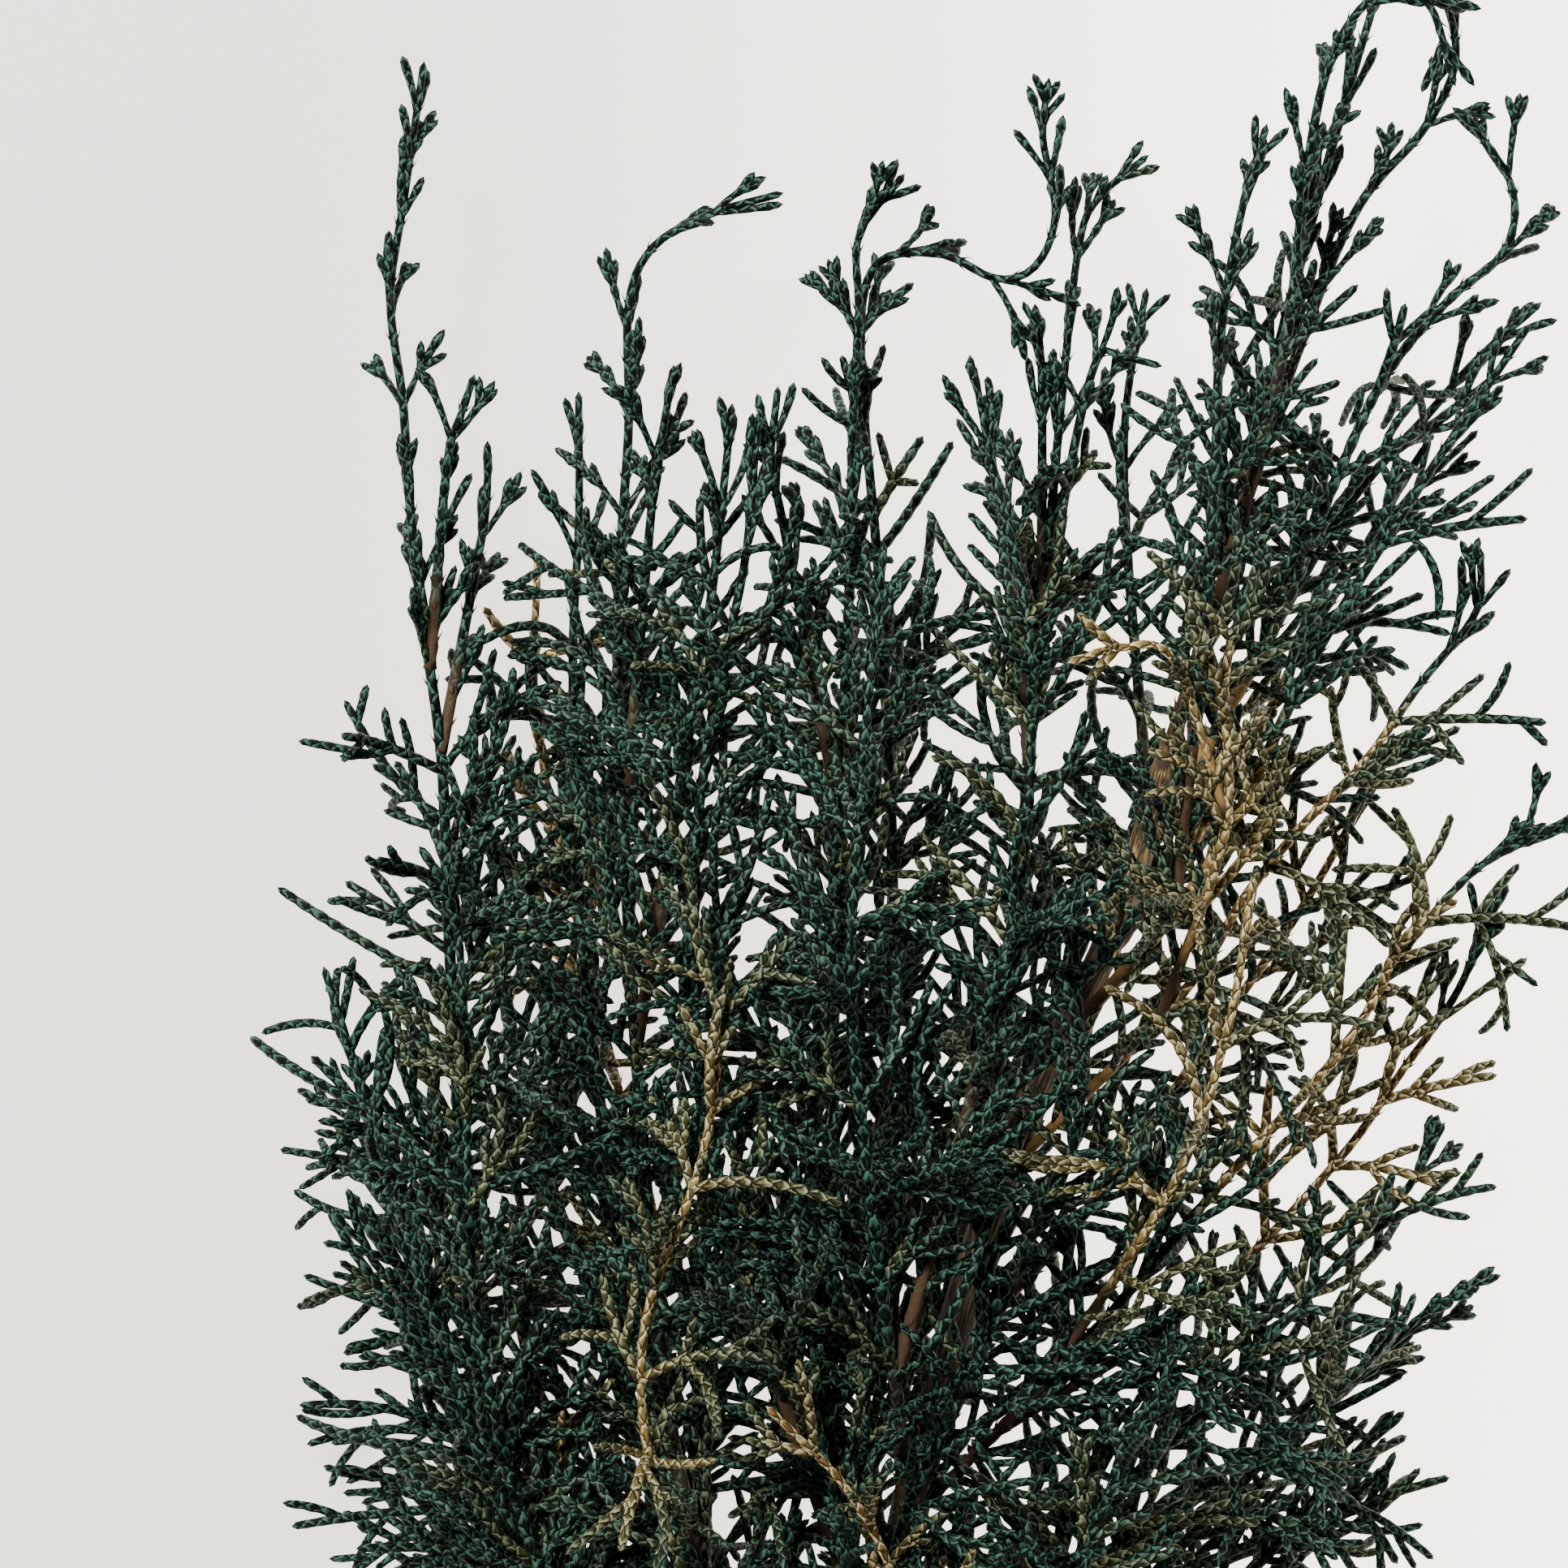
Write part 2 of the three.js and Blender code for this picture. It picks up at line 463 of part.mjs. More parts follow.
function solidOf(geometry) {
  const plain = geometry.clone();
  plain.deleteAttribute('normal');
  plain.deleteAttribute('uv');
  const merged = mergeVertices(plain, WELD);
  const vertProperties = new Float32Array(merged.attributes.position.array);
  const triVerts = new Uint32Array(merged.index.array);
  return new wasm.Manifold(new wasm.Mesh({ numProp: 3, vertProperties, triVerts }));
}

function geometryOf(solid) {
  const mesh = solid.getMesh();
  const geometry = new THREE.BufferGeometry();
  geometry.setAttribute('position', new THREE.BufferAttribute(mesh.vertProperties, 3));
  geometry.setIndex(new THREE.BufferAttribute(mesh.triVerts, 1));
  geometry.computeVertexNormals();
  return geometry;
}

function largestPiece(solid) {
  return solid.decompose().sort((a, b) => b.volume() - a.volume())[0];
}

// The room that the pieces take, as short lines with a radius, listed by the cells of space that they touch
const CELL = 6;
const room = new Map();

function cellsAlong(segment, around) {
  const cells = new Set();
  const steps = Math.ceil(segment.distance() / (CELL / 2));
  const spot = new THREE.Vector3();
  for (let i = 0; i <= steps; i += 1) {
    segment.at(i / Math.max(steps, 1), spot).divideScalar(CELL).floor();
    for (const dx of around) {
      for (const dy of around) {
        for (const dz of around) cells.add(`${spot.x + dx},${spot.y + dy},${spot.z + dz}`);
      }
    }
  }
  return cells;
}

function takeRoom(line, radii, owner, node) {
  for (let i = 1; i < line.length; i += 1) {
    const segment = new THREE.Line3(line[i - 1], line[i]);
    const taken = { segment, radius: Math.max(radii[i - 1], radii[i]), owner, node };
    for (const cell of cellsAlong(segment, [-1, 0, 1])) {
      if (!room.has(cell)) room.set(cell, []);
      room.get(cell).push(taken);
    }
  }
}

// Other nodes are kept clear by NODE_GAP. In its own node a shoot is clear once it is past its root, which
// takes up no more than a share of the piece past its neck.
const ROOT_ZONE = 1;
const ROOT_SHARE = 0.8;
const OWN_OVERLAP = 0.3;

function isClear(line, radius, carrier, node) {
  const rootZone = Math.min(ROOT_ZONE / line[1].distanceTo(line[2]), ROOT_SHARE);
  return line.slice(1).every((end, i) => {
    const whole = new THREE.Line3(line[i], end);
    const pastRoot = new THREE.Line3(i === 1 ? line[1].clone().lerp(end, rootZone) : line[i], end);
    return [...cellsAlong(whole, [0])].flatMap((cell) => room.get(cell) ?? []).every((taken) => {
      if (taken.owner === carrier) return true;
      const own = taken.node === node;
      if (own && i === 0) return true;
      const reach = radius + taken.radius + (own ? -OWN_OVERLAP : NODE_GAP);
      return (own ? pastRoot : whole).distanceSqToLine3(taken.segment) >= reach * reach;
    });
  });
}

// The solids of the stem, of a branch and of a shoot. Extra is the clear room round one, for a cut.
function stemTube(stem, extra = 0) {
  const line = stem.line.filter((_, i) => i % STEM_STEPS_PER_RING === 0);
  const radii = line.map((_, i) => THREE.MathUtils.lerp(...STEM_RADII, i / (line.length - 1)) + extra);
  return tube(line, radii, STEM_SIDES);
}

// The rings of a branch lie where its line has turned or run on far enough since the last one
function ringPoints(line) {
  const kept = [0];
  const heading = (i) => line[i + 1].clone().sub(line[i]);
  for (let i = 1; i < line.length - 1; i += 1) {
    const last = kept.at(-1);
    const turned = heading(i).angleTo(heading(last)) > RING_TURN;
    if (turned || line[i].distanceTo(line[last]) > RING_SPACING) kept.push(i);
  }
  return [...kept, line.length - 1].map((i) => line[i]);
}

function branchRadii(branch, extra = 0) {
  return branch.rings.map((_, i) => {
    const radius = THREE.MathUtils.lerp(branch.radius, TWIG_RADIUS, i / (branch.rings.length - 1));
    return radius * PRISM_TO_ROUND + extra;
  });
}

const PRISM_RADIUS = TWIG_RADIUS * PRISM_TO_ROUND;

// A shoot starts in a point on the axis of what carries it and ends in a point
const TIP_RADII = [0, PRISM_RADIUS, PRISM_RADIUS, 0];

function addTip(branch, tip, carrier, carrierLine) {
  const root = placeOn(carrierLine, tip.share * lengthOf(carrierLine)).point;
  const neck = placeOn(tip.line, Math.min(NECK, tip.length * NECK_SHARE)).point;
  const line = [root, neck, tip.line[SHOOT_WIDEST], tip.line.at(-1)];
  if (!isClear(line, PRISM_RADIUS, carrier, branch.node)) return false;
  takeRoom(line, TIP_RADII, tip, branch.node);
  branch.solids.push(solidOf(tube(line, TIP_RADII, PRISM_SIDES)));
  return true;
}

// A whip keeps both shoots of a pair. Below it one of each pair is built, a quarter turn on from the last.
function isBuilt(shoot) {
  return shoot.slender || shoot.side === (shoot.pair % 4 < 2 ? 1 : -1);
}

function fillWithShoots(branches) {
  const rounds = Math.max(...branches.map((branch) => branch.shoots.length));
  for (let i = 0; i < rounds; i += 1) {
    for (const branch of branches) {
      const shoot = branch.shoots[i];
      if (shoot && isBuilt(shoot)) shoot.built = addTip(branch, shoot, branch, branch.rings);
    }
  }
  for (const branch of branches) {
    for (const shoot of branch.shoots.filter((each) => each.built && each.length > FORKED_SHOOT)) {
      const fork = sideTwigs(shoot)[FORK_TWIG];
      if (fork) addTip(branch, fork, shoot, [shoot.line[0], shoot.line[SHOOT_WIDEST], shoot.line.at(-1)]);
    }
  }
}

// A node joins its branches, cut clear of what it grows from and flat where it rests on the table
function nodeSolid(own, stem, belowTable) {
  const joined = own.flatMap((branch) => branch.solids).reduce((sum, next) => sum.add(next));
  const { above } = own[0];
  const clear = joined.subtract(solidOf(stemTube(stem, ROOT_GAP))).subtract(belowTable);
  if (above === stem) return largestPiece(clear);
  const cornerGap = ROOT_GAP / Math.cos(Math.PI / PRISM_SIDES);
  const aboveRoom = solidOf(tube(above.rings, branchRadii(above, cornerGap), PRISM_SIDES));
  return largestPiece(clear.subtract(aboveRoom));
}

function meshOf(name, solid, look) {
  const mesh = new THREE.Mesh(geometryOf(solid), new THREE.MeshStandardMaterial(look));
  mesh.name = name;
  return mesh;
}

const TABLE_SIZE = 1000;

function buildPlant() {
  const plant = growPlant();
  const stem = plant.get('stem');
  const branches = [...plant.values()].filter((part) => part !== stem);
  const slab = new THREE.BoxGeometry(TABLE_SIZE, TABLE_SIZE, TABLE_SIZE);
  const belowTable = solidOf(slab.translate(0, 0, -TABLE_SIZE / 2));
  takeRoom(stem.line, stem.line.map(() => STEM_RADII[0]), stem, stem.node);
  for (const branch of branches) {
    const radii = branchRadii(branch);
    takeRoom(branch.rings, radii, branch, branch.node);
    branch.solids = [solidOf(tube(branch.rings, [...radii.slice(0, -1), 0], PRISM_SIDES))];
  }
  fillWithShoots(branches);

  const group = new THREE.Group();
  group.add(meshOf(stem.name, solidOf(stemTube(stem)).subtract(belowTable), BARK_LOOK));
  for (const node of new Set(branches.map((branch) => branch.node))) {
    const own = branches.filter((branch) => branch.node === node);
    group.add(meshOf(node, nodeSolid(own, stem, belowTable), LEAF_LOOKS[own[0].leaf]));
  }
  const middle = new THREE.Box3().setFromObject(group).getCenter(new THREE.Vector3());
  group.position.set(-middle.x, -middle.y, 0);
  return group;
}

export default buildPlant();
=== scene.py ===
"""A preserved cypress stem laid down on a pale floor, seen from straight above.

Every branch follows the same path and the same seeded rule of growth as the part's solids, so each piece
stays where its solid is. Here all the shoots and twigs are grown, as cords covered with scale leaves.
Growth is worked out in millimetres and the meshes are in metres.
"""
import json
import math

import bpy
import numpy as np
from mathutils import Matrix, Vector

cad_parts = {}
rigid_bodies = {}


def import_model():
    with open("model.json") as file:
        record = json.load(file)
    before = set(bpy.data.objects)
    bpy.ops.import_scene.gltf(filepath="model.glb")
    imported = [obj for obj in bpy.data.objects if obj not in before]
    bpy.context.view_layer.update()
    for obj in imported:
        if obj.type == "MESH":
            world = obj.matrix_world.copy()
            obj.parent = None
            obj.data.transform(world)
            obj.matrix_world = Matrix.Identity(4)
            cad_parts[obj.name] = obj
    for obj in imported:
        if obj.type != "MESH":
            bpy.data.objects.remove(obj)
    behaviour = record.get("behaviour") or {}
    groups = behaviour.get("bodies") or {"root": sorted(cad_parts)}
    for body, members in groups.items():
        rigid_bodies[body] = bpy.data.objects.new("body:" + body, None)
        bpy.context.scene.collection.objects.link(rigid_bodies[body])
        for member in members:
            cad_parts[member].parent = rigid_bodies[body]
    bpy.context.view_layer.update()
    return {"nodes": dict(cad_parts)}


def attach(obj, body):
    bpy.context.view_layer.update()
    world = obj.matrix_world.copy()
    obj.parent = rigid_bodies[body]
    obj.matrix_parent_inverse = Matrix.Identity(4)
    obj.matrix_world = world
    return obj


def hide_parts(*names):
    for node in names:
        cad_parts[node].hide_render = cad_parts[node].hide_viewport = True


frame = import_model()

MM = 0.001

# Driving dimensions and the rule of growth. Leans are in degrees, turns and rolls in radians and bends in
# radians per millimetre. A range is drawn from evenly.
TWIG_RADIUS = 0.75
STEM_RADII = (4.3, 1.9)
LOWEST_TWIG = TWIG_RADIUS
SEED = 29
MASK = 0xFFFFFFFF
KEY_MIX = 2654435761
DRAW_STEP = 0x6D2B79F5
PAIR_PITCH = 14
PAIR_SPREAD = (0.85, 1.15)
FACE_UP = 1.6
SHOOT_LEAN = (30, 60)
WHIP_LEAN = (16, 32)
SHOOT_TURN = (-0.5, 0.5)
SHOOT_ROLL = (-0.3, 0.3)
SHOOT_SIZE = (0.8, 1.5)
SHOOT_TAPER = 0.35
SHOOT_BEND = 0.09
WHIP_SHORTEST = (5, 11)
WHIP_LONGER_BELOW = 7
WHIP_TIP = 2
WHIP_TIP_SHARE = 0.9
WHIP_END = 24
WHIP_END_PITCH = 8
SHORTEST_SHOOT = 4
TWIG_PITCH = 7.5
WHIP_TWIG_PITCH = 4.5
TWIG_SPREAD = (0.75, 1.25)
FIRST_TWIG = (4.5, 9.5)
LAST_TWIG = 3
TWIG_ROLL = (-0.8, 0.8)
LONGEST_TWIG = 22
SHORTEST_TWIG = 2
TWIG_TAPER = 0.9
SHORTEST_WHIP_TWIG = 1.6
WHIP_TWIG_ROOM = 2.4
TWIG_BEND = 0.12
DROOP = 0.12
TURN_ALONG = (-0.022, 0.026)
WHIP_TURN_ALONG = (0.008, 0.02)
SHOOT_SHAPES = {
    "body": dict(lean=SHOOT_LEAN, turn_along=TURN_ALONG),
    "whip": dict(lean=WHIP_LEAN, turn_along=WHIP_TURN_ALONG),
    "fill": dict(lean=(45, 80), turn_along=(0.015, 0.05)),
}
TWIG_SHAPES = {
    "first": dict(lean=(28, 58), turn_along=TURN_ALONG, size=(0.5, 1.2)),
    "whip": dict(lean=(14, 28), turn_along=WHIP_TURN_ALONG, size=(0.5, 1.2)),
    "later": dict(lean=(20, 44), turn_along=(-0.01, 0.03), size=(0.8, 1.35)),
}
TIP_SHAPE = dict(lean=(22, 48), turn_along=(-0.01, 0.03))
CURVE_STEPS = 8
CURVE_TENSION = 0.5
SHOOT_PIECES = 6

# Where the stem and each branch run. A branch has its parent, the distance along the parent at which it
# leaves, its radius there, how far it stays bare, its longest side shoot and the length of its slim whip.
# What many branches share is given once.
USUAL_BRANCH = dict(leaf="green", parent="stem", radius=1.14, reach=24, whip=0)
STEM_PATH = [(4, -212, 3.9), (6, -150, 11), (10, -75, 25), (17, -5, 37), (33, 58, 43), (51, 99, 45),
             (60, 128, 43)]
BRANCHES = [
    dict(name="top_leader", leaves=351, radius=1.22, bare=8, reach=17, whip=100,
         path=[(69, 156, 41), (77, 190, 40), (84, 216, 38), (92, 243, 36), (97, 258, 34)]),
    dict(name="top_twin", parent="top_leader", leaves=22, radius=1.05, bare=12, reach=14, whip=70,
         path=[(71, 165, 50), (77, 190, 52), (80, 214, 50), (84, 232, 47), (91, 242, 46), (99, 241, 46),
               (103, 229, 46)]),
    dict(name="top_whip", parent="top_leader", leaves=34, radius=1.01, bare=12, reach=12, whip=85,
         path=[(80, 188, 33), (89, 210, 36), (99, 222, 38), (104, 232, 38), (103, 241, 38),
               (99, 248, 38)]),
    dict(name="upper_right", leaves=330, bare=12, reach=20, whip=50,
         path=[(75, 144, 46), (84, 166, 50), (92, 183, 50), (102, 195, 48), (111, 203, 46),
               (112, 213, 45), (105, 224, 44)]),
    dict(name="upper_right_low", parent="upper_right", leaves=30, radius=1.05, bare=6, reach=20, whip=30,
         path=[(86, 162, 38), (100, 178, 34), (108, 187, 35), (117, 195, 36)]),
    dict(name="upper_front", leaves=300, bare=16, reach=19, whip=30,
         path=[(64, 108, 62), (80, 140, 66), (95, 164, 64), (106, 180, 60), (113, 190, 57)]),
    dict(name="upper_mid", parent="upper_front", leaves=30, radius=1.1, bare=12, reach=20, whip=50,
         path=[(63, 140, 66), (65, 168, 66), (66, 188, 63), (69, 206, 61), (73, 220, 60)]),
    dict(name="upper_under", leaves=310, radius=1.1, bare=14, reach=21, whip=20,
         path=[(68, 118, 30), (84, 146, 20), (97, 164, 18), (109, 176, 19)]),
    dict(name="upper_under_mid", parent="upper_under", leaves=20, radius=1.1, bare=14, reach=22, whip=35,
         path=[(56, 134, 22), (54, 162, 19), (54, 180, 20), (57, 198, 22)]),
    dict(name="far_left", leaves=98, radius=1.43, bare=30, reach=26, whip=105,
         path=[(-12, -78, 30), (-36, -28, 37), (-47, 22, 38), (-50, 62, 38), (-52, 100, 40),
               (-53, 125, 41), (-56, 147, 41), (-58, 165, 40), (-59, 180, 40), (-61, 196, 39),
               (-59, 211, 38), (-56, 232, 37)]),
    dict(name="far_left_low", parent="far_left", leaves=22, bare=14, reach=22,
         path=[(-22, -72, 18), (-37, -42, 14), (-46, -12, 18), (-49, 18, 23)]),
    dict(name="far_left_under", parent="far_left", leaves=48, bare=14, whip=10,
         path=[(-34, -42, 18), (-44, -10, 7), (-54, 20, 1), (-62, 50, 3)]),
    dict(name="far_left_side", parent="far_left", leaves=78, radius=1.18, bare=12, whip=15,
         path=[(-42, -12, 33), (-51, 24, 28), (-62, 54, 25), (-71, 77, 24)]),
    dict(name="far_left_twin", parent="far_left", leaves=268, radius=1, bare=6, reach=12, whip=40,
         path=[(-52, 170, 43), (-50, 177, 44), (-48, 183, 44)]),
    dict(name="far_left_third", parent="far_left", leaves=255, radius=1, bare=8, reach=12, whip=40,
         path=[(-48, 154, 35), (-46.5, 163, 34), (-46, 172, 34)]),
    dict(name="left_front", leaves=134, radius=1.31, bare=26,
         path=[(-12, -46, 50), (-34, -6, 64), (-46, 40, 70), (-48, 84, 68), (-50, 108, 64)]),
    dict(name="left_front_low", parent="left_front", leaves=34, bare=10,
         path=[(-24, -30, 54), (-39, 2, 54), (-49, 30, 54)]),
    dict(name="left_front_side", parent="left_front", leaves=62, radius=1.18, bare=12, reach=25, whip=10,
         path=[(-44, 14, 60), (-55, 48, 60), (-64, 74, 57), (-70, 92, 54)]),
    dict(name="left_leader", leaves=154, radius=1.35, bare=34, reach=28, whip=75,
         path=[(-4, -26, 46), (-17, 20, 50), (-22, 70, 48), (-25, 120, 45), (-25.5, 150, 43),
               (-24, 176, 42), (-24, 195, 41), (-20, 204, 41), (-11, 209, 41), (-1, 212, 40)]),
    dict(name="left_leader_low", parent="left_leader", leaves=72, radius=1.18, bare=14, reach=26, whip=40,
         path=[(-24, 44, 38), (-31, 90, 30), (-33, 136, 30), (-32, 162, 32), (-32, 181, 33)]),
    dict(name="left_leader_side", parent="left_leader", leaves=184, radius=1, bare=8, reach=12, whip=40,
         path=[(-20, 166, 50), (-18.5, 175, 51), (-17, 184, 51)]),
    dict(name="left_leader_fan", parent="left_leader", leaves=150, radius=1.05,
         bare=10, reach=18, whip=40,
         path=[(-14, 132, 54), (-11, 150, 55), (-9, 168, 54), (-8, 178, 53)]),
    dict(name="left_under", leaves=172, radius=1.22, bare=18, reach=25, whip=15,
         path=[(-8, -12, 20), (-26, 26, 9), (-40, 66, 3), (-46, 98, 1), (-48, 128, 3)]),
    dict(name="left_tan", leaf="gold", parent="left_under", leaves=70, radius=1.1, bare=16, reach=18,
         path=[(-24, 60, 16), (-32, 96, 18), (-39, 130, 19), (-39, 156, 19)]),
    dict(name="centre_leader", leaves=185, radius=1.35, bare=30, reach=27, whip=60,
         path=[(8, 10, 53), (4, 60, 55), (8, 110, 52), (10, 150, 50), (10.5, 175, 48), (11.5, 193, 47),
               (11.5, 205, 46), (18, 214, 45)]),
    dict(name="arched_whip", parent="centre_leader", leaves=66, bare=24, reach=20, whip=75,
         path=[(14, 60, 36), (17, 100, 29), (15, 150, 30), (12, 186, 33), (14, 201, 36), (24, 203, 38),
               (33, 199, 39), (39, 201, 40), (42, 209, 40), (40, 222, 40), (43, 227, 40)]),
    dict(name="centre_fan", parent="centre_leader", leaves=34, radius=1.22, bare=20, reach=26, whip=30,
         path=[(2, 22, 66), (-10, 62, 73), (-14, 98, 72), (-11, 130, 67), (-6, 154, 62),
               (-4, 176, 58)]),
    dict(name="centre_leader_side", parent="centre_leader", leaves=152, radius=1.05,
         bare=10, reach=14, whip=40,
         path=[(0, 160, 48), (-2, 170, 48), (-1, 181, 47)]),
    dict(name="centre_front", leaves=198, radius=1.26, bare=22, reach=25, whip=20,
         path=[(18, 16, 60), (14, 50, 74), (10, 90, 80), (12, 126, 77), (15, 156, 70)]),
    dict(name="centre_side", parent="centre_front", leaves=28, bare=12,
         path=[(32, 42, 66), (44, 68, 68), (44, 98, 64)]),
    dict(name="right_low_leader", parent="centre_front", leaves=58, bare=14, reach=23, whip=30,
         path=[(28, 74, 74), (36, 110, 70), (37, 144, 62), (32, 168, 56), (29, 184, 54)]),
    dict(name="centre_under", leaves=206, radius=1.18, bare=18, reach=25, whip=20,
         path=[(12, 30, 18), (8, 66, 7), (10, 104, 1), (19, 138, 3), (24, 162, 8)]),
    dict(name="centre_under_side", parent="centre_under", leaves=26, bare=14,
         path=[(26, 48, 11), (40, 76, 4), (52, 104, 3)]),
    dict(name="right_leader", leaves=232, radius=1.22, bare=20, whip=70,
         path=[(28, 48, 26), (35, 84, 26), (38, 120, 29), (41, 155, 32), (43.5, 183, 33), (46, 205, 34),
               (49, 212, 34), (56, 218, 35)]),
    dict(name="right_leader_side", parent="right_leader", leaves=112, radius=1.05,
         bare=8, reach=14, whip=40,
         path=[(36, 160, 26), (33, 170, 24), (32, 181, 24)]),
    dict(name="right_leader_arm", parent="right_leader", leaves=137, radius=0.95,
         bare=4, reach=8, whip=30,
         path=[(48, 185, 34), (53, 187, 34), (58, 186, 34)]),
    dict(name="right_leader_spur", parent="right_leader", leaves=134, radius=0.95,
         bare=4, reach=8, whip=30,
         path=[(40, 187, 34), (37.5, 195, 35)]),
    dict(name="right_gold", leaf="gold", leaves=222, radius=1.31, bare=16, whip=30,
         path=[(46, 36, 56), (66, 60, 62), (84, 80, 62), (94, 95, 58), (105, 107, 52), (114, 112, 48),
               (122, 116, 46)]),
    dict(name="right_gold_high", leaf="gold", parent="right_gold", leaves=32, bare=10, reach=22,
         path=[(58, 60, 72), (66, 84, 78), (70, 106, 76)]),
    dict(name="right_brown", leaf="gold", parent="right_gold", leaves=22, radius=1.18,
         bare=10, reach=21, whip=25,
         path=[(62, 40, 50), (84, 62, 50), (95, 77, 49), (104, 90, 48), (109, 104, 46)]),
    dict(name="upper_gold", leaf="gold", leaves=278, radius=1.22, bare=12, whip=25,
         path=[(60, 88, 56), (70, 104, 62), (79, 115, 62), (88, 124, 60), (97, 136, 55), (106, 147, 50),
               (107, 156, 48)]),
    dict(name="upper_gold_fan", leaf="gold", parent="upper_gold", leaves=36, bare=10, whip=15,
         path=[(66, 114, 74), (66, 138, 76), (72, 156, 72)]),
    dict(name="pale_gold", leaf="gold", parent="upper_gold_fan", leaves=38, radius=1, bare=7, reach=9,
         path=[(58, 139, 80), (50, 141, 81), (43, 139, 81)]),
    dict(name="right_low", leaves=159, radius=1.31, bare=18, whip=20,
         path=[(34, -26, 42), (60, 2, 44), (84, 26, 42), (99, 38, 40), (109, 45, 38)]),
    dict(name="right_low_front", parent="right_low", leaves=38, radius=1.18, bare=12, reach=23, whip=15,
         path=[(48, 8, 54), (66, 28, 58), (84, 47, 55), (95, 58, 50), (101, 68, 48)]),
    dict(name="right_low_under", parent="right_low", leaves=30, radius=1.18, bare=12, whip=15,
         path=[(46, -4, 30), (66, 10, 22), (84, 22, 19), (99, 32, 18)]),
    dict(name="low_front", parent="right_low", leaves=16, radius=1.18, bare=14, reach=25,
         path=[(32, -22, 60), (46, 8, 70), (58, 34, 72)]),
    dict(name="right_base", leaves=124, radius=1.26, bare=16, reach=25,
         path=[(32, -62, 24), (54, -36, 19), (74, -12, 17), (86, 4, 18)]),
    dict(name="right_base_high", parent="right_base", leaves=22, radius=1.18, bare=12, reach=25, whip=10,
         path=[(42, -40, 34), (62, -14, 32), (82, 8, 30), (95, 22, 28)]),
    dict(name="right_base_low", parent="right_base", leaves=12, bare=12, reach=22,
         path=[(34, -76, 9), (50, -54, 3), (64, -30, 1), (72, -14, 3)]),
    dict(name="right_under", leaves=248, bare=14, whip=10,
         path=[(50, 56, 20), (68, 80, 7), (84, 102, 1), (96, 124, 3)]),
    dict(name="low_centre", leaves=108, radius=1.22, bare=26, reach=26,
         path=[(12, -62, 44), (18, -30, 60), (10, 2, 68), (4, 30, 66)]),
    dict(name="centre_gold", leaf="gold", parent="low_centre", leaves=56, radius=1.18, bare=46,
         path=[(0, -30, 64), (-17, 8, 76), (-21, 38, 82), (-12, 66, 85), (-8, 94, 84)]),
    dict(name="centre_tan", leaf="gold", parent="low_centre", leaves=82, radius=1.1, bare=10, reach=18,
         path=[(17, -2, 74), (10, 15, 80), (-2, 28, 84)]),
    dict(name="left_low_tan", leaf="gold", parent="left_front", leaves=22, bare=14, reach=20,
         path=[(-18, -46, 36), (-30, -18, 48), (-34, 6, 50), (-34, 26, 50)]),
    dict(name="under_left", leaves=140, radius=1.18, bare=12,
         path=[(0, -46, 12), (-14, -14, 5), (-24, 20, 4)]),
    dict(name="under_right", parent="under_left", leaves=12, bare=10,
         path=[(18, -40, 8), (32, -12, 6), (44, 16, 6)]),
]

# What fills in between the solids' shoots: a layer of arching shoots between the pairs, more of them bare
# towards the end of the branch, and short last twigs on each twig longer than BARE_TWIG. A shoot longer than
# FORKED_SHOOT has a twig in the solids too, so it is never bare. The gold branches and those in OPEN have no
# layer. A key keeps the draws of each kind apart.
OPEN = ("upper_right", "upper_right_low", "upper_front", "upper_mid", "upper_under", "upper_under_mid",
        "right_under")
FILL_TO = 0.85
FILL_KEY = 1000
BARE_SHARE = (0.3, 0.9)
SHOOT_LOOK_KEY = 7000
BRANCH_LOOK_KEY = 8000
FIRST_TIP = (4, 8)
LAST_TIP = 4
TIP_LENGTH = (3, 9)
TIP_PITCH = (7, 12)
TIP_BEND = 0.16
BARE_TWIG = 15
BARE_SOLID = 0.15
FORKED_SHOOT = 36

# Cords: radii spread evenly from the root to the tip, the pitch of the whorls of scale leaves and how many
# sides. A whorl is wider by the share CROSSED on two sides, and the next one on the other two. The pointed
# tip reaches a share of a whorl on. A cord steeper than UPRIGHT has its sides set out from another axis.
BRANCH_FULLNESS = {"green": 1.0, "gold": 0.75}
WHIP_RADIUS = 0.6
BRANCH_SCALES = 1.75
BRANCH_SIDES = 8
SHOOT_RADII = (0.78, 0.82, 0.82, 0.8, 0.66)
WHIP_SHOOT_RADII = (0.45, 0.6, 0.5, 0.66, 0.6, 0.84, 0.6)
SHOOT_SCALES = 1.45
SHOOT_SIDES = 6
TWIG_RADII = (0.6, 0.7, 0.74, 0.74, 0.6)
TWIG_SCALES = 1.3
TWIG_SIDES = 5
TIP_RADII = (0.52, 0.64, 0.68, 0.55)
CROSSED = 0.1
TIP_REACH = 0.6
UPRIGHT = 0.8

# The free leaf tips along a branch: how far apart, how long and wide, how far they lean out, how deep their
# roots lie in the cord and how thick they are, as shares of its radius, and their corners' place on a scale
LEAF_PITCH = 4.5
LEAF_LENGTH = 1.8
LEAF_WIDTH = 0.45
LEAF_LEAN = 0.35
LEAF_ROOT = 0.6
LEAF_THICK = 0.45
LEAF_SCALES = [[0.5, 0.2], [0.5, 0.2], [1.2, 0.2]]

# The woody stem's mesh: rings and sides, the sides of its solid, and ridges as (how many round it, how they
# wander along it)
STEM_RINGS = 160
STEM_SIDES = 32
STEM_SOLID_SIDES = 10
STEM_ROUGH = 0.05
STEM_RIDGES = [(3, 5.0), (5, -11.0), (8, 17.0), (13, -31.0)]

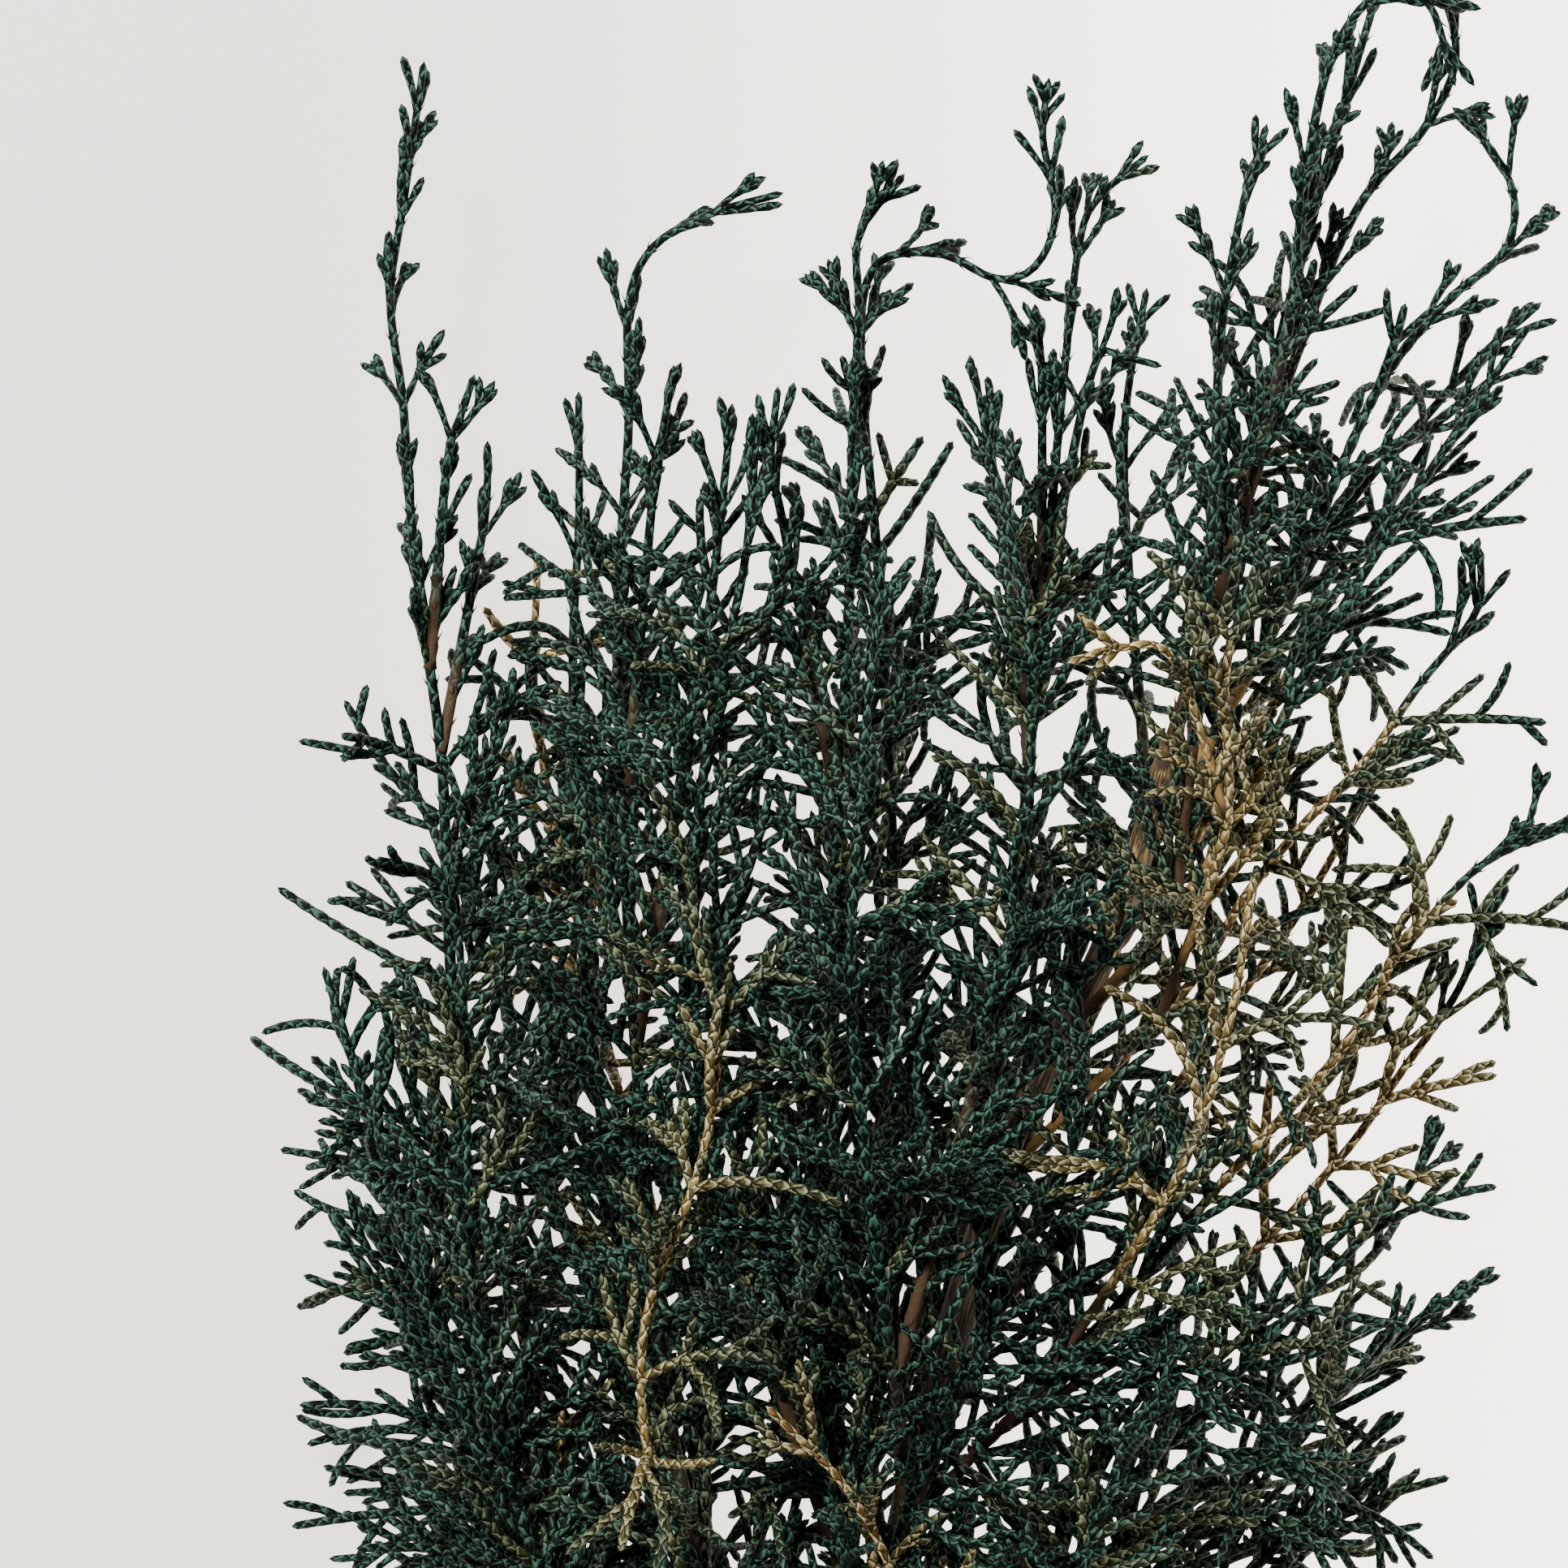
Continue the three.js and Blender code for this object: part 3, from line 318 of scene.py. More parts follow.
# What the leaf material reads along a cord. A branch listed here is golden between two shares of its
# length, and how golden its shoots are is drawn from a range. Its tone runs from brown at -1 to straw at 1.
# A few shoots of the other branches are olive, given as gold and tone. The share of its gold that a cord
# keeps at its tip is drawn. A branch is woody at its root and leafy further on.
LOOKS = ("tint", "gold", "woody")
LOOK_STEPS = 25
GOLD_LOOKS = {
    "left_tan": ((0.05, 1.2), (0.9, 1.15), 0.0),
    "right_gold": ((0.42, 0.85), (0.5, 1.1), 0.1),
    "right_gold_high": ((0.2, 1.2), (0.5, 1.0), 0.4),
    "right_brown": ((0.35, 0.85), (0.6, 1.1), -0.5),
    "upper_gold": ((0.0, 0.8), (0.15, 0.7), 0.1),
    "upper_gold_fan": ((0.1, 0.85), (0.6, 1.1), 0.5),
    "pale_gold": ((0.0, 1.2), (0.9, 1.1), 0.9),
    "centre_gold": ((0.42, 1.2), (0.35, 0.85), 0.5),
    "centre_tan": ((0.2, 1.2), (0.5, 1.0), -0.3),
    "left_low_tan": ((0.2, 1.2), (0.4, 0.9), 0.3),
    "upper_front": ((0.05, 0.5), (0.2, 0.8), 0.2),
    "upper_right": ((0.0, 0.3), (0.1, 0.6), 0.0),
    "upper_under": ((0.1, 0.6), (0.1, 0.6), -0.3),
    "right_under": ((0.4, 1.2), (0.0, 0.7), -0.2),
}
GOLD_EDGE = 0.08
GOLD_LEFT = (0.1, 0.9)
OLIVE_SHARE = 0.16
OLIVE = (0.4, 0.1)
LEAST_OLIVE = (0, 0.16)
WOODY_ALONG = (1.0, -0.6)

# The leaves' colours. They go from green through olive to gold as the gold rises, and the woody parts take
# over between two values. The rim and the covered root of a scale leaf are shares of its way from its root
# to its edges. The covered root takes the crevice colours, as painted shade. The rim colours are partly the
# leaves' own paler edges and partly painted highlight, and streaks of painted highlight take them too.
GREEN_DARK = (0.0001, 0.0014, 0.0009)
GREEN_FRESH = (0.0009, 0.0062, 0.0026)
OLIVE_LEAF = (0.030, 0.034, 0.010)
GOLD_BROWN = (0.10, 0.045, 0.010)
GOLD_STRAW = (0.19, 0.135, 0.038)
PATCH = (0.0004, 0.002, 0.0016)
PATCH_SCALE = 60
PATCHES = (0.35, 0.65)
PATCH_SHARE = 0.4
TO_OLIVE = (0, 0.5)
TO_GOLD = (0.35, 1)
TO_WOOD = (0.35, 0.8)
WOODY_GREEN = (0.06, 0.036, 0.020)
WOODY_GOLD = (0.26, 0.15, 0.055)
# Painted shade: the colours of a scale leaf's covered root, where the leaf before shades it
CREVICE_SHADE_GREEN = (0.0001, 0.0006, 0.0004)
CREVICE_SHADE_GOLD = (0.03, 0.015, 0.004)
# The rims' colours: partly the scale leaves' own paler edges and partly painted highlight; the painted
# highlight streaks take them too
RIM_AND_HIGHLIGHT_GREEN = (0.075, 0.19, 0.13)
RIM_AND_HIGHLIGHT_OLIVE = (0.36, 0.38, 0.20)
RIM_AND_HIGHLIGHT_GOLD = (1.0, 0.82, 0.42)
RIM = (0.64, 1.0)
RIM_SHARE = 0.62
COVERED = (0.02, 0.4)
WOBBLE_SCALE = 700
WOBBLE = 1.7
# Painted highlight: pale streaks along the cords, in the rims' colours, from noise drawn out along them
STREAK_ALONG = 0.45
STREAK_ROUND = 2.2
STREAK_APART = 9
STREAK = (0.54, 0.72)
STREAK_DETAIL = 2
HIGHLIGHT_STREAK_SHARE = 0.32
LEAF_ROUGHNESS = (0.72, 0.5)
LEAF_SHINE = 0.1
LEAF_BUMP = 0.8
LEAF_BUMP_DEPTH = 0.3 * MM

# The bark's and the cut wood's colours. Strips of bark lie close round the stem and run on along it.
# Below the top the bark is darker, as painted shade, and its own paler colour begins between two
# distances from the cut end. The cut wood has a ring for each year.
# Painted shade: the bark below the top, darker than its own colour there
SHADED_BARK_DARK = (0.010, 0.006, 0.004)
SHADED_BARK_PALE = (0.12, 0.075, 0.036)
TOP_BARK_DARK = (0.026, 0.014, 0.006)
TOP_BARK_PALE = (0.27, 0.165, 0.062)
TOP_BARK = (270, 320)
BARK_ALONG = 0.2
BARK_ROUND = 30
BARK_STRIPS = (0.4, 0.6)
BARK_DETAIL = 6
BARK_ROUGHNESS = 0.8
BARK_BUMP = 1.0
BARK_BUMP_DEPTH = 0.6 * MM
WOOD_PALE = (0.5, 0.36, 0.2)
WOOD_DARK = (0.22, 0.13, 0.06)
WOOD_ROUGHNESS = 0.75
YEAR_RING = 0.8
YEAR_RING_EDGE = (0.5, 1.0)
PITH = 0.5

# The photograph's frame on the plane of the stem and the camera's distance from that plane, in millimetres.
# Then the stage in metres: the view's end, half the floor's side, and each light's place, size and power.
PHOTO_SIDE = 241.5
PHOTO_HEIGHT = 45
CAMERA_AWAY = 1000
SENSOR = 36
VIEW_END = 20
FLOOR = 3
FLOOR_COLOUR = (0.25, 0.245, 0.235)
FLOOR_ROUGHNESS = 0.9
# Painted light: the floor glows, brighter towards the right as if lit from there, and the glow washes out
# shadows on it
FLOOR_GLOW = (1.0, 0.935, 0.81)
FLOOR_GLOWS = (2.1, 4.8)
FLOOR_GLOW_ACROSS = (-0.11, 0.12)
ROOM_LIGHT = 0.02
WALL_LIGHT = 1.0
WALL_TOP = (0.28, 0.4)
WALL_COLOUR = (1.0, 0.97, 0.92, 1)
LIGHTS = [("key light", (-0.3, 0.45, 0.85), 0.25, 20)]


def draws_for(*keys):
    """A repeatable run of numbers from 0 to 1 for the shoot that the keys name."""
    state = SEED
    for key in keys:
        state = ((state ^ key) * KEY_MIX) & MASK
        state ^= state >> 15

    def draw():
        nonlocal state
        state = (state + DRAW_STEP) & MASK
        mixed = ((state ^ (state >> 15)) * (state | 1)) & MASK
        mixed = ((mixed + (((mixed ^ (mixed >> 7)) * (mixed | 61)) & MASK)) & MASK) ^ mixed
        return (mixed ^ (mixed >> 14)) / 2**32

    return draw


def within(limits, chance):
    low, high = limits
    return low + (high - low) * chance


def smooth_line(points):
    """The Catmull-Rom curve through the points, as a list of points."""
    points = [Vector(point) for point in points]
    padded = [2 * points[0] - points[1], *points, 2 * points[-1] - points[-2]]
    line = []
    for before, start, end, after in zip(padded, padded[1:], padded[2:], padded[3:]):
        leaving = CURVE_TENSION * (end - before)
        arriving = CURVE_TENSION * (after - start)
        for step in range(CURVE_STEPS):
            t = step / CURVE_STEPS
            bow = (3 * (end - start) - 2 * leaving - arriving) * t**2
            line.append(start + leaving * t + bow + (2 * (start - end) + leaving + arriving) * t**3)
    line.append(points[-1])
    return line


def length_of(line):
    return sum((end - start).length for start, end in zip(line, line[1:]))


def place_on(line, distance):
    """The point that far along a line, and the line's direction there."""
    left = distance
    i = 1
    while i < len(line) - 1 and left > (line[i] - line[i - 1]).length:
        left -= (line[i] - line[i - 1]).length
        i += 1
    forward = (line[i] - line[i - 1]).normalized()
    return line[i - 1] + forward * left, forward


def shoot_line(start, direction, bend, length):
    """A shoot leaves its start along a direction and turns steadily by bend, sliding along the table."""
    step = length / SHOOT_PIECES
    heading = direction.normalized()
    line = [start.copy()]
    for _ in range(SHOOT_PIECES):
        heading = (heading + bend * step).normalized()
        point = line[-1] + heading * step
        if point.z < LOWEST_TWIG:
            point.z = LOWEST_TWIG
            heading.z = max(heading.z, 0)
            heading.normalize()
        line.append(point)
    return line


def leaning_out(forward, face, roll, lean, side):
    """The direction of a shoot that leans out from its parent by lean, turned by roll about the parent."""
    across = face.cross(forward).normalized()
    up = forward.cross(across)
    outward = (across * math.cos(roll) + up * math.sin(roll)) * side
    return forward * math.cos(lean) + outward * math.sin(lean)


def bend_of(forward, strength, turn_along, chance):
    """The steady turn of a shoot, partly any way and partly towards or away from its parent's direction."""
    bend = Vector([chance() - 0.5, chance() - 0.5, chance() - 0.5 - DROOP])
    return bend * strength + forward * within(turn_along, chance())


def side_shoots(branch, index, layer):
    """The side shoots of a branch in opposite pairs. Layer 0 is the solids' own, and layer 1 fills in."""
    line, total = branch["line"], branch["length"]
    draw = draws_for(index)
    face = Vector([draw() - 0.5, draw() - 0.5, FACE_UP]).normalized()
    if layer:
        draw = draws_for(index, FILL_KEY + layer)
    shoots = []
    distance = branch["bare"] + layer * PAIR_PITCH / 2
    pair = 0
    while distance < total - SHORTEST_SHOOT:
        point, forward = place_on(line, distance)
        slender = total - distance < branch["whip"]
        if layer and (slender or distance > FILL_TO * total):
            break
        shape = SHOOT_SHAPES["whip" if slender else "fill" if layer else "body"]
        turn = ((pair + layer) % 2) * math.pi / 2 + within(SHOOT_TURN, draw())
        for side in (1, -1):
            keys = (index, pair + FILL_KEY * layer, side + 2)
            chance = draws_for(*keys)
            roll = turn + within(SHOOT_ROLL, chance())
            lean = math.radians(within(shape["lean"], chance()))
            length = shoot_length(branch, distance, total, chance())
            bend = bend_of(forward, SHOOT_BEND, shape["turn_along"], chance)
            shoot = shoot_line(point, leaning_out(forward, face, roll, lean, side), bend, length)
            shoots.append(dict(line=shoot, length=length, slender=slender, face=face, keys=keys,
                               share=distance / total))
        at_whip_end = slender and total - distance < WHIP_END
        distance += (WHIP_END_PITCH if at_whip_end else PAIR_PITCH) * within(PAIR_SPREAD, draw())
        pair += 1
    return shoots


def shoot_length(branch, distance, total, chance):
    left = total - distance
    if left < branch["whip"]:
        length = within(WHIP_SHORTEST, chance) + WHIP_LONGER_BELOW * left / branch["whip"]
        return min(length, left * WHIP_TIP_SHARE + WHIP_TIP)
    share = (distance - branch["bare"]) / (total - branch["bare"])
    return branch["reach"] * (1 - SHOOT_TAPER * share) * within(SHOOT_SIZE, chance)


def side_twigs(shoot):
    """The twigs of a shoot: pairs on a whip, and elsewhere one pair and then one side by turns."""
    draw = draws_for(*shoot["keys"], 0)
    pitch = WHIP_TWIG_PITCH if shoot["slender"] else TWIG_PITCH
    twigs = []
    distance = within(FIRST_TWIG, draw())
    sides = (1, -1)
    while distance < shoot["length"] - LAST_TWIG:
        shape = TWIG_SHAPES["whip" if shoot["slender"] else "later" if twigs else "first"]
        point, forward = place_on(shoot["line"], distance)
        turn = within(TWIG_ROLL, draw())
        for side in sides:
            keys = (*shoot["keys"], len(twigs) + 1)
            chance = draws_for(*keys)
            roll = turn + within(SHOOT_ROLL, chance())
            lean = math.radians(within(shape["lean"], chance()))
            length = twig_length(shoot, distance, within(shape["size"], chance()))
            bend = bend_of(forward, TWIG_BEND, shape["turn_along"], chance)
            line = shoot_line(point, leaning_out(forward, shoot["face"], roll, lean, side), bend, length)
            twigs.append(dict(line=line, length=length, face=shoot["face"], keys=keys, leaves=distance))
        distance += pitch * within(TWIG_SPREAD, draw())
        if not shoot["slender"]:
            sides = (-sides[-1],)
    return twigs


def twig_length(shoot, distance, size):
    if shoot["slender"]:
        return SHORTEST_WHIP_TWIG + WHIP_TWIG_ROOM * size
    return min(LONGEST_TWIG, SHORTEST_TWIG + (shoot["length"] - distance) * TWIG_TAPER) * size


def side_tips(twig):
    """The short last twigs of a long twig, the finest that the plant has."""
    tips = []
    draw = draws_for(*twig["keys"], FILL_KEY)
    distance = within(FIRST_TIP, draw())
    side = 1 if draw() < 0.5 else -1
    while distance < twig["length"] - LAST_TIP:
        point, forward = place_on(twig["line"], distance)
        roll = within(TWIG_ROLL, draw())
        lean = math.radians(within(TIP_SHAPE["lean"], draw()))
        length = within(TIP_LENGTH, draw())
        bend = bend_of(forward, TIP_BEND, TIP_SHAPE["turn_along"], draw)
        line = shoot_line(point, leaning_out(forward, twig["face"], roll, lean, side), bend, length)
        tips.append(dict(line=line, length=length))
        distance += within(TIP_PITCH, draw())
        side = -side
    return tips


def grow_plant():
    """The branches by name, each with its line, its node and its side shoots."""
    stem = dict(name="stem", leaf="none", line=smooth_line(STEM_PATH))
    plant = {"stem": stem}
    for index, own_plan in enumerate(BRANCHES):
        plan = {**USUAL_BRANCH, **own_plan}
        parent = plant[plan["parent"]]
        start, _ = place_on(parent["line"], plan["leaves"])
        line = smooth_line([start, *plan["path"]])
        branch = dict(plan, line=line, length=length_of(line), index=index)
        branch["node"] = parent["node"] if parent["leaf"] == plan["leaf"] else plan["name"]
        branch["shoots"] = side_shoots(branch, index, 0)
        if plan["leaf"] == "green" and plan["name"] not in OPEN:
            branch["shoots"] += side_shoots(branch, index, 1)
        plant[plan["name"]] = branch
    return plant


class Cords:
    """The cords of one piece, gathered as arrays and made into one mesh."""

    def __init__(self):
        self.corners = []
        self.loops = []
        self.sizes = []
        self.scales = []
        self.looks = {name: [] for name in LOOKS}
        self.count = 0

    def add(self, corners, faces, scales, looks):
        """Corners as rows of x, y, z. Faces as rows of corner numbers, with scales as rows of u, v."""
        self.corners.append(corners)
        for rows in faces:
            self.loops.append(rows.ravel() + self.count)
            self.sizes.append(np.full(len(rows), rows.shape[1]))
        self.scales.append(scales)
        for name in LOOKS:
            self.looks[name].append(np.broadcast_to(looks[name], len(corners)))
        self.count += len(corners)

    def mesh(self, name):
        corners = (np.concatenate(self.corners) + SHIFT) * MM
        corners[:, 2] = np.maximum(corners[:, 2], 0)
        loops = np.concatenate(self.loops)
        sizes = np.concatenate(self.sizes)
        mesh = bpy.data.meshes.new(name)
        mesh.vertices.add(len(corners))
        mesh.vertices.foreach_set("co", corners.ravel())
        mesh.loops.add(len(loops))
        mesh.loops.foreach_set("vertex_index", loops)
        mesh.polygons.add(len(sizes))
        mesh.polygons.foreach_set("loop_start", np.concatenate([[0], np.cumsum(sizes)[:-1]]))
        mesh.update(calc_edges=True)
        mesh.polygons.foreach_set("use_smooth", np.ones(len(sizes), bool))
        scales = mesh.uv_layers.new(name="scales")
        scales.uv.foreach_set("vector", np.concatenate(self.scales).ravel().astype(np.float32))
        for look in LOOKS:
            values = mesh.attributes.new(look, "FLOAT", "POINT")
            values.data.foreach_set("value", np.concatenate(self.looks[look]).astype(np.float32))
        return mesh


def directions_at(centres):
    forward = np.gradient(centres, axis=0)
    return forward / np.linalg.norm(forward, axis=1)[:, None]


def along_line(line, distances):
    """The points that far along a line, and the directions there. The line runs on past its end."""
    points = np.array([point[:] for point in line])
    steps = np.linalg.norm(np.diff(points, axis=0), axis=1)
    run = np.concatenate([[0], np.cumsum(steps)])
    centres = np.stack([np.interp(distances, run, points[:, axis]) for axis in range(3)], axis=1)
    beyond = np.maximum(distances - run[-1], 0)[:, None]
    centres += beyond * (points[-1] - points[-2]) / steps[-1]
    return centres, directions_at(centres)


def square_to(forward):
    """Two directions square to each other and to each forward direction."""
    upright = abs(forward[:, 2].mean()) > UPRIGHT
    reference = np.array([1.0, 0, 0]) if upright else np.array([0, 0, 1.0])
    across = np.cross(reference, forward)
    across /= np.linalg.norm(across, axis=1)[:, None]
    return across, np.cross(forward, across)


def ring_directions(forward, angles):
    """Unit directions square to the line at each of its points, at each angle."""
    across, other = square_to(forward)
    return (np.cos(angles)[None, :, None] * across[:, None, :]
            + np.sin(angles)[None, :, None] * other[:, None, :])


def spread_along(share, values):
    """The values, evenly spaced from the root of a cord to its tip, read at each share of the way."""
    return np.interp(share, np.linspace(0, 1, len(values)), values)


def tube_wall(u, v):
    """The faces of a tube and their corners' u, v. It has a ring of corners at each u, and in each ring a
    corner at each v but the last, which is the first again."""
    sides = len(v) - 1
    here = np.arange(sides)
    after = (here + 1) % sides
    below = sides * np.arange(len(u) - 1)[:, None]
    above = below + sides
    quads = np.stack([below + here, below + after, above + after, above + here], axis=2)
    low_u, left_v = np.meshgrid(u[:-1], v[:-1], indexing="ij")
    high_u, right_v = np.meshgrid(u[1:], v[1:], indexing="ij")
    scales = np.stack([low_u, left_v, low_u, right_v, high_u, right_v, high_u, left_v], axis=2)
    return quads.reshape(-1, 4), scales


def add_cord(cords, stalk, radii, pitch, sides, twist, looks):
    """A cord of scale leaves in crossed pairs, with a ring of corners at each whorl and a pointed tip. The
    stalk is the branch, shoot or twig that it clothes."""
    length = stalk["length"]
    whorls = max(2, round(length / pitch))
    u = np.append(np.arange(whorls + 1), whorls + TIP_REACH)
    distances = u * length / whorls
    centres, forward = along_line(stalk["line"], distances)
    v = 4 * np.arange(sides + 1) / sides
    angles = np.pi * v[:-1] / 2
    crossed = np.cos(2 * angles[None, :] + np.pi * u[:-1, None])
    out = spread_along(distances[:-1] / length, radii)[:, None] * (1 + CROSSED * crossed)
    wall = centres[:-1, None, :] + out[:, :, None] * ring_directions(forward[:-1], angles + twist)
    corners = np.concatenate([wall.reshape(-1, 3), centres[-1:]])

    quads, wall_uv = tube_wall(u[:-1], v)
    here = np.arange(sides)
    last = sides * whorls
    tip = np.stack([last + here, last + (here + 1) % sides, np.full(sides, last + sides)], axis=1)
    low, high = np.full(sides, u[-2]), np.full(sides, u[-1])
    tip_uv = np.stack([low, v[:-1], low, v[1:], high, (v[:-1] + v[1:]) / 2], axis=1)
    scales = np.concatenate([wall_uv.ravel(), tip_uv.ravel(), np.zeros(2 * sides)])

    share = np.append(np.repeat(distances[:-1] / length, sides), 1.0)
    spread = {name: spread_along(share, value) for name, value in looks.items()}
    cords.add(corners, [quads, tip, here[None, ::-1]], scales, spread)


def add_leaf_tips(cords, branch, radii, looks):
    """The free pointed tips of a branch's own leaves, in crossed pairs, each a slim three-sided spike."""
    distances = np.arange(LEAF_PITCH, branch["length"] - LEAF_PITCH, LEAF_PITCH)
    centres, forward = along_line(branch["line"], distances)
    share = distances / branch["length"]
    radius = spread_along(share, radii)
    for turn in (0, math.pi):
        angles = turn + np.pi / 2 * np.arange(len(distances))
        across, other = square_to(forward)
        outward = np.cos(angles)[:, None] * across + np.sin(angles)[:, None] * other
        sideways = np.cross(forward, outward)
        root = centres + outward * (radius * LEAF_ROOT)[:, None]
        tip = centres + outward * (radius + LEAF_LENGTH * LEAF_LEAN)[:, None] + forward * LEAF_LENGTH
        outer = root + outward * (radius * LEAF_THICK)[:, None]
        left, right = root + sideways * LEAF_WIDTH, root - sideways * LEAF_WIDTH
        corners = np.stack([left, right, outer, tip], axis=1).reshape(-1, 3)
        first = 4 * np.arange(len(distances))[:, None, None]
        faces = (first + np.array([[0, 2, 3], [2, 1, 3], [1, 0, 3], [0, 1, 2]])[None]).reshape(-1, 3)
        scales = np.tile(LEAF_SCALES, (len(faces), 1)).ravel()
        spread = {name: np.repeat(spread_along(share, value), 4) for name, value in looks.items()}
        cords.add(corners, [faces], scales, spread)


def leaf_looks(chance, hue, woody=(0, 0)):
    """What the leaf material reads, at a cord's root and at its tip. The gold fades towards the tip."""
    gold, tone = hue
    tint = within((-1, 1), chance()) * (1 - abs(tone)) + tone
    return dict(tint=(tint, tint), gold=(gold, gold * within(GOLD_LEFT, chance())), woody=woody)


def golden_part(branch, share):
    """From 0 where a gold branch is green to 1 where it is golden, at a share of its length."""
    if branch["name"] not in GOLD_LOOKS:
        return 0.0
    first, last = GOLD_LOOKS[branch["name"]][0]
    return min(1.0, max(0.0, (share - first) / GOLD_EDGE), max(0.0, (last - share) / GOLD_EDGE))


def hue_of(branch, share, chance, olive_share=0):
    """How golden a cord is that leaves its branch at a share of its length, and the cord's tone."""
    if branch["name"] not in GOLD_LOOKS:
        return OLIVE if chance() < olive_share else (within(LEAST_OLIVE, chance()), 0)
    _, limits, tone = GOLD_LOOKS[branch["name"]]
    return within(limits, chance()) * golden_part(branch, share), tone


def add_branch(cords, branch):
    """A branch's own cord, woody at its root, with its shoots and their twigs."""
    chance = draws_for(branch["index"], BRANCH_LOOK_KEY)
    radii = (branch["radius"] * BRANCH_FULLNESS[branch["leaf"]], WHIP_RADIUS)
    _, tone = hue_of(branch, 1, chance)
    looks = leaf_looks(chance, (1, tone), WOODY_ALONG)
    looks["gold"] = [golden_part(branch, share) for share in np.linspace(0, 1, LOOK_STEPS)]
    add_cord(cords, branch, radii, BRANCH_SCALES, BRANCH_SIDES, chance(), looks)
    add_leaf_tips(cords, branch, radii, looks)
    for shoot in branch["shoots"]:
        add_shoot(cords, branch, shoot)


def bare_share(shoot):
    """The chance that a shoot has no twigs."""
    if shoot["keys"][1] >= FILL_KEY:
        return within(BARE_SHARE, shoot["share"])
    return 0 if shoot["slender"] or shoot["length"] > FORKED_SHOOT else BARE_SOLID


def add_shoot(cords, branch, shoot):
    """A shoot with its twigs, which take its gold where they leave it, and their own last twigs."""
    chance = draws_for(*shoot["keys"], SHOOT_LOOK_KEY)
    hue = hue_of(branch, shoot["share"], chance, 0 if shoot["slender"] else OLIVE_SHARE)
    looks_of_shoot = leaf_looks(chance, hue)
    radii = WHIP_SHOOT_RADII if shoot["slender"] else SHOOT_RADII
    add_cord(cords, shoot, radii, SHOOT_SCALES, SHOOT_SIDES, chance(), looks_of_shoot)
    if chance() < bare_share(shoot):
        return
    for twig in side_twigs(shoot):
        chance = draws_for(*twig["keys"], SHOOT_LOOK_KEY)
        gold_here = spread_along(twig["leaves"] / shoot["length"], looks_of_shoot["gold"])
        hue = (gold_here, hue[1])
        looks = leaf_looks(chance, hue)
        add_cord(cords, twig, TWIG_RADII, TWIG_SCALES, TWIG_SIDES, chance(), looks)
        if twig["length"] > BARE_TWIG:
            for tip in side_tips(twig):
                add_cord(cords, tip, TIP_RADII, TWIG_SCALES, TWIG_SIDES, 0, leaf_looks(chance, hue))


def make_piece(name, mesh, materials, slot, *nodes):
    piece = bpy.data.objects.new(name, mesh)
    bpy.context.scene.collection.objects.link(piece)
    for material in materials:
        mesh.materials.append(material)
    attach(piece, "root")
    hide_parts(*nodes)
    return piece


def stem_piece(line, materials):
    """The woody stem: a round tube with low ridges along it and a plain cut end."""
    cords = Cords()
    steps = np.linspace(0, 1, STEM_RINGS)
    points = np.array([point[:] for point in line])
    centres = np.stack([spread_along(steps, points[:, axis]) for axis in range(3)], axis=1)
    angle = 2 * np.pi * np.arange(STEM_SIDES) / STEM_SIDES
    radius = STEM_RADII[0] + (STEM_RADII[1] - STEM_RADII[0]) * steps
    ridges = sum(np.sin(count * angle[None, :] + wander * steps[:, None] + wander) / count
                 for count, wander in STEM_RIDGES)
    radius = radius[:, None] * (1 + STEM_ROUGH * ridges)
    wall = centres[:, None, :] + radius[:, :, None] * ring_directions(directions_at(centres), angle)
    quads, wall_uv = tube_wall(length_of(line) * steps, np.arange(STEM_SIDES + 1) / STEM_SIDES)
    here = np.arange(STEM_SIDES)
    last = STEM_SIDES * (STEM_RINGS - 1)
    cut_uv = np.stack([radius[0] * np.cos(angle), radius[0] * np.sin(angle)], axis=1)
    tip_uv = np.stack([radius[-1] * np.cos(angle), radius[-1] * np.sin(angle)], axis=1)
    scales = np.concatenate([wall_uv.ravel(), cut_uv[::-1].ravel(), tip_uv.ravel()])
    looks = dict(tint=0.0, gold=0.0, woody=1.0)
    cords.add(wall.reshape(-1, 3), [quads, here[None, ::-1], last + here[None, :]], scales, looks)
    mesh = cords.mesh("woody_stem")
    # The second material is on the two ends, the only faces with more than four corners
    for polygon in mesh.polygons:
        polygon.material_index = int(len(polygon.vertices) > 4)
    return make_piece("woody_stem", mesh, materials, "bark", "stem")


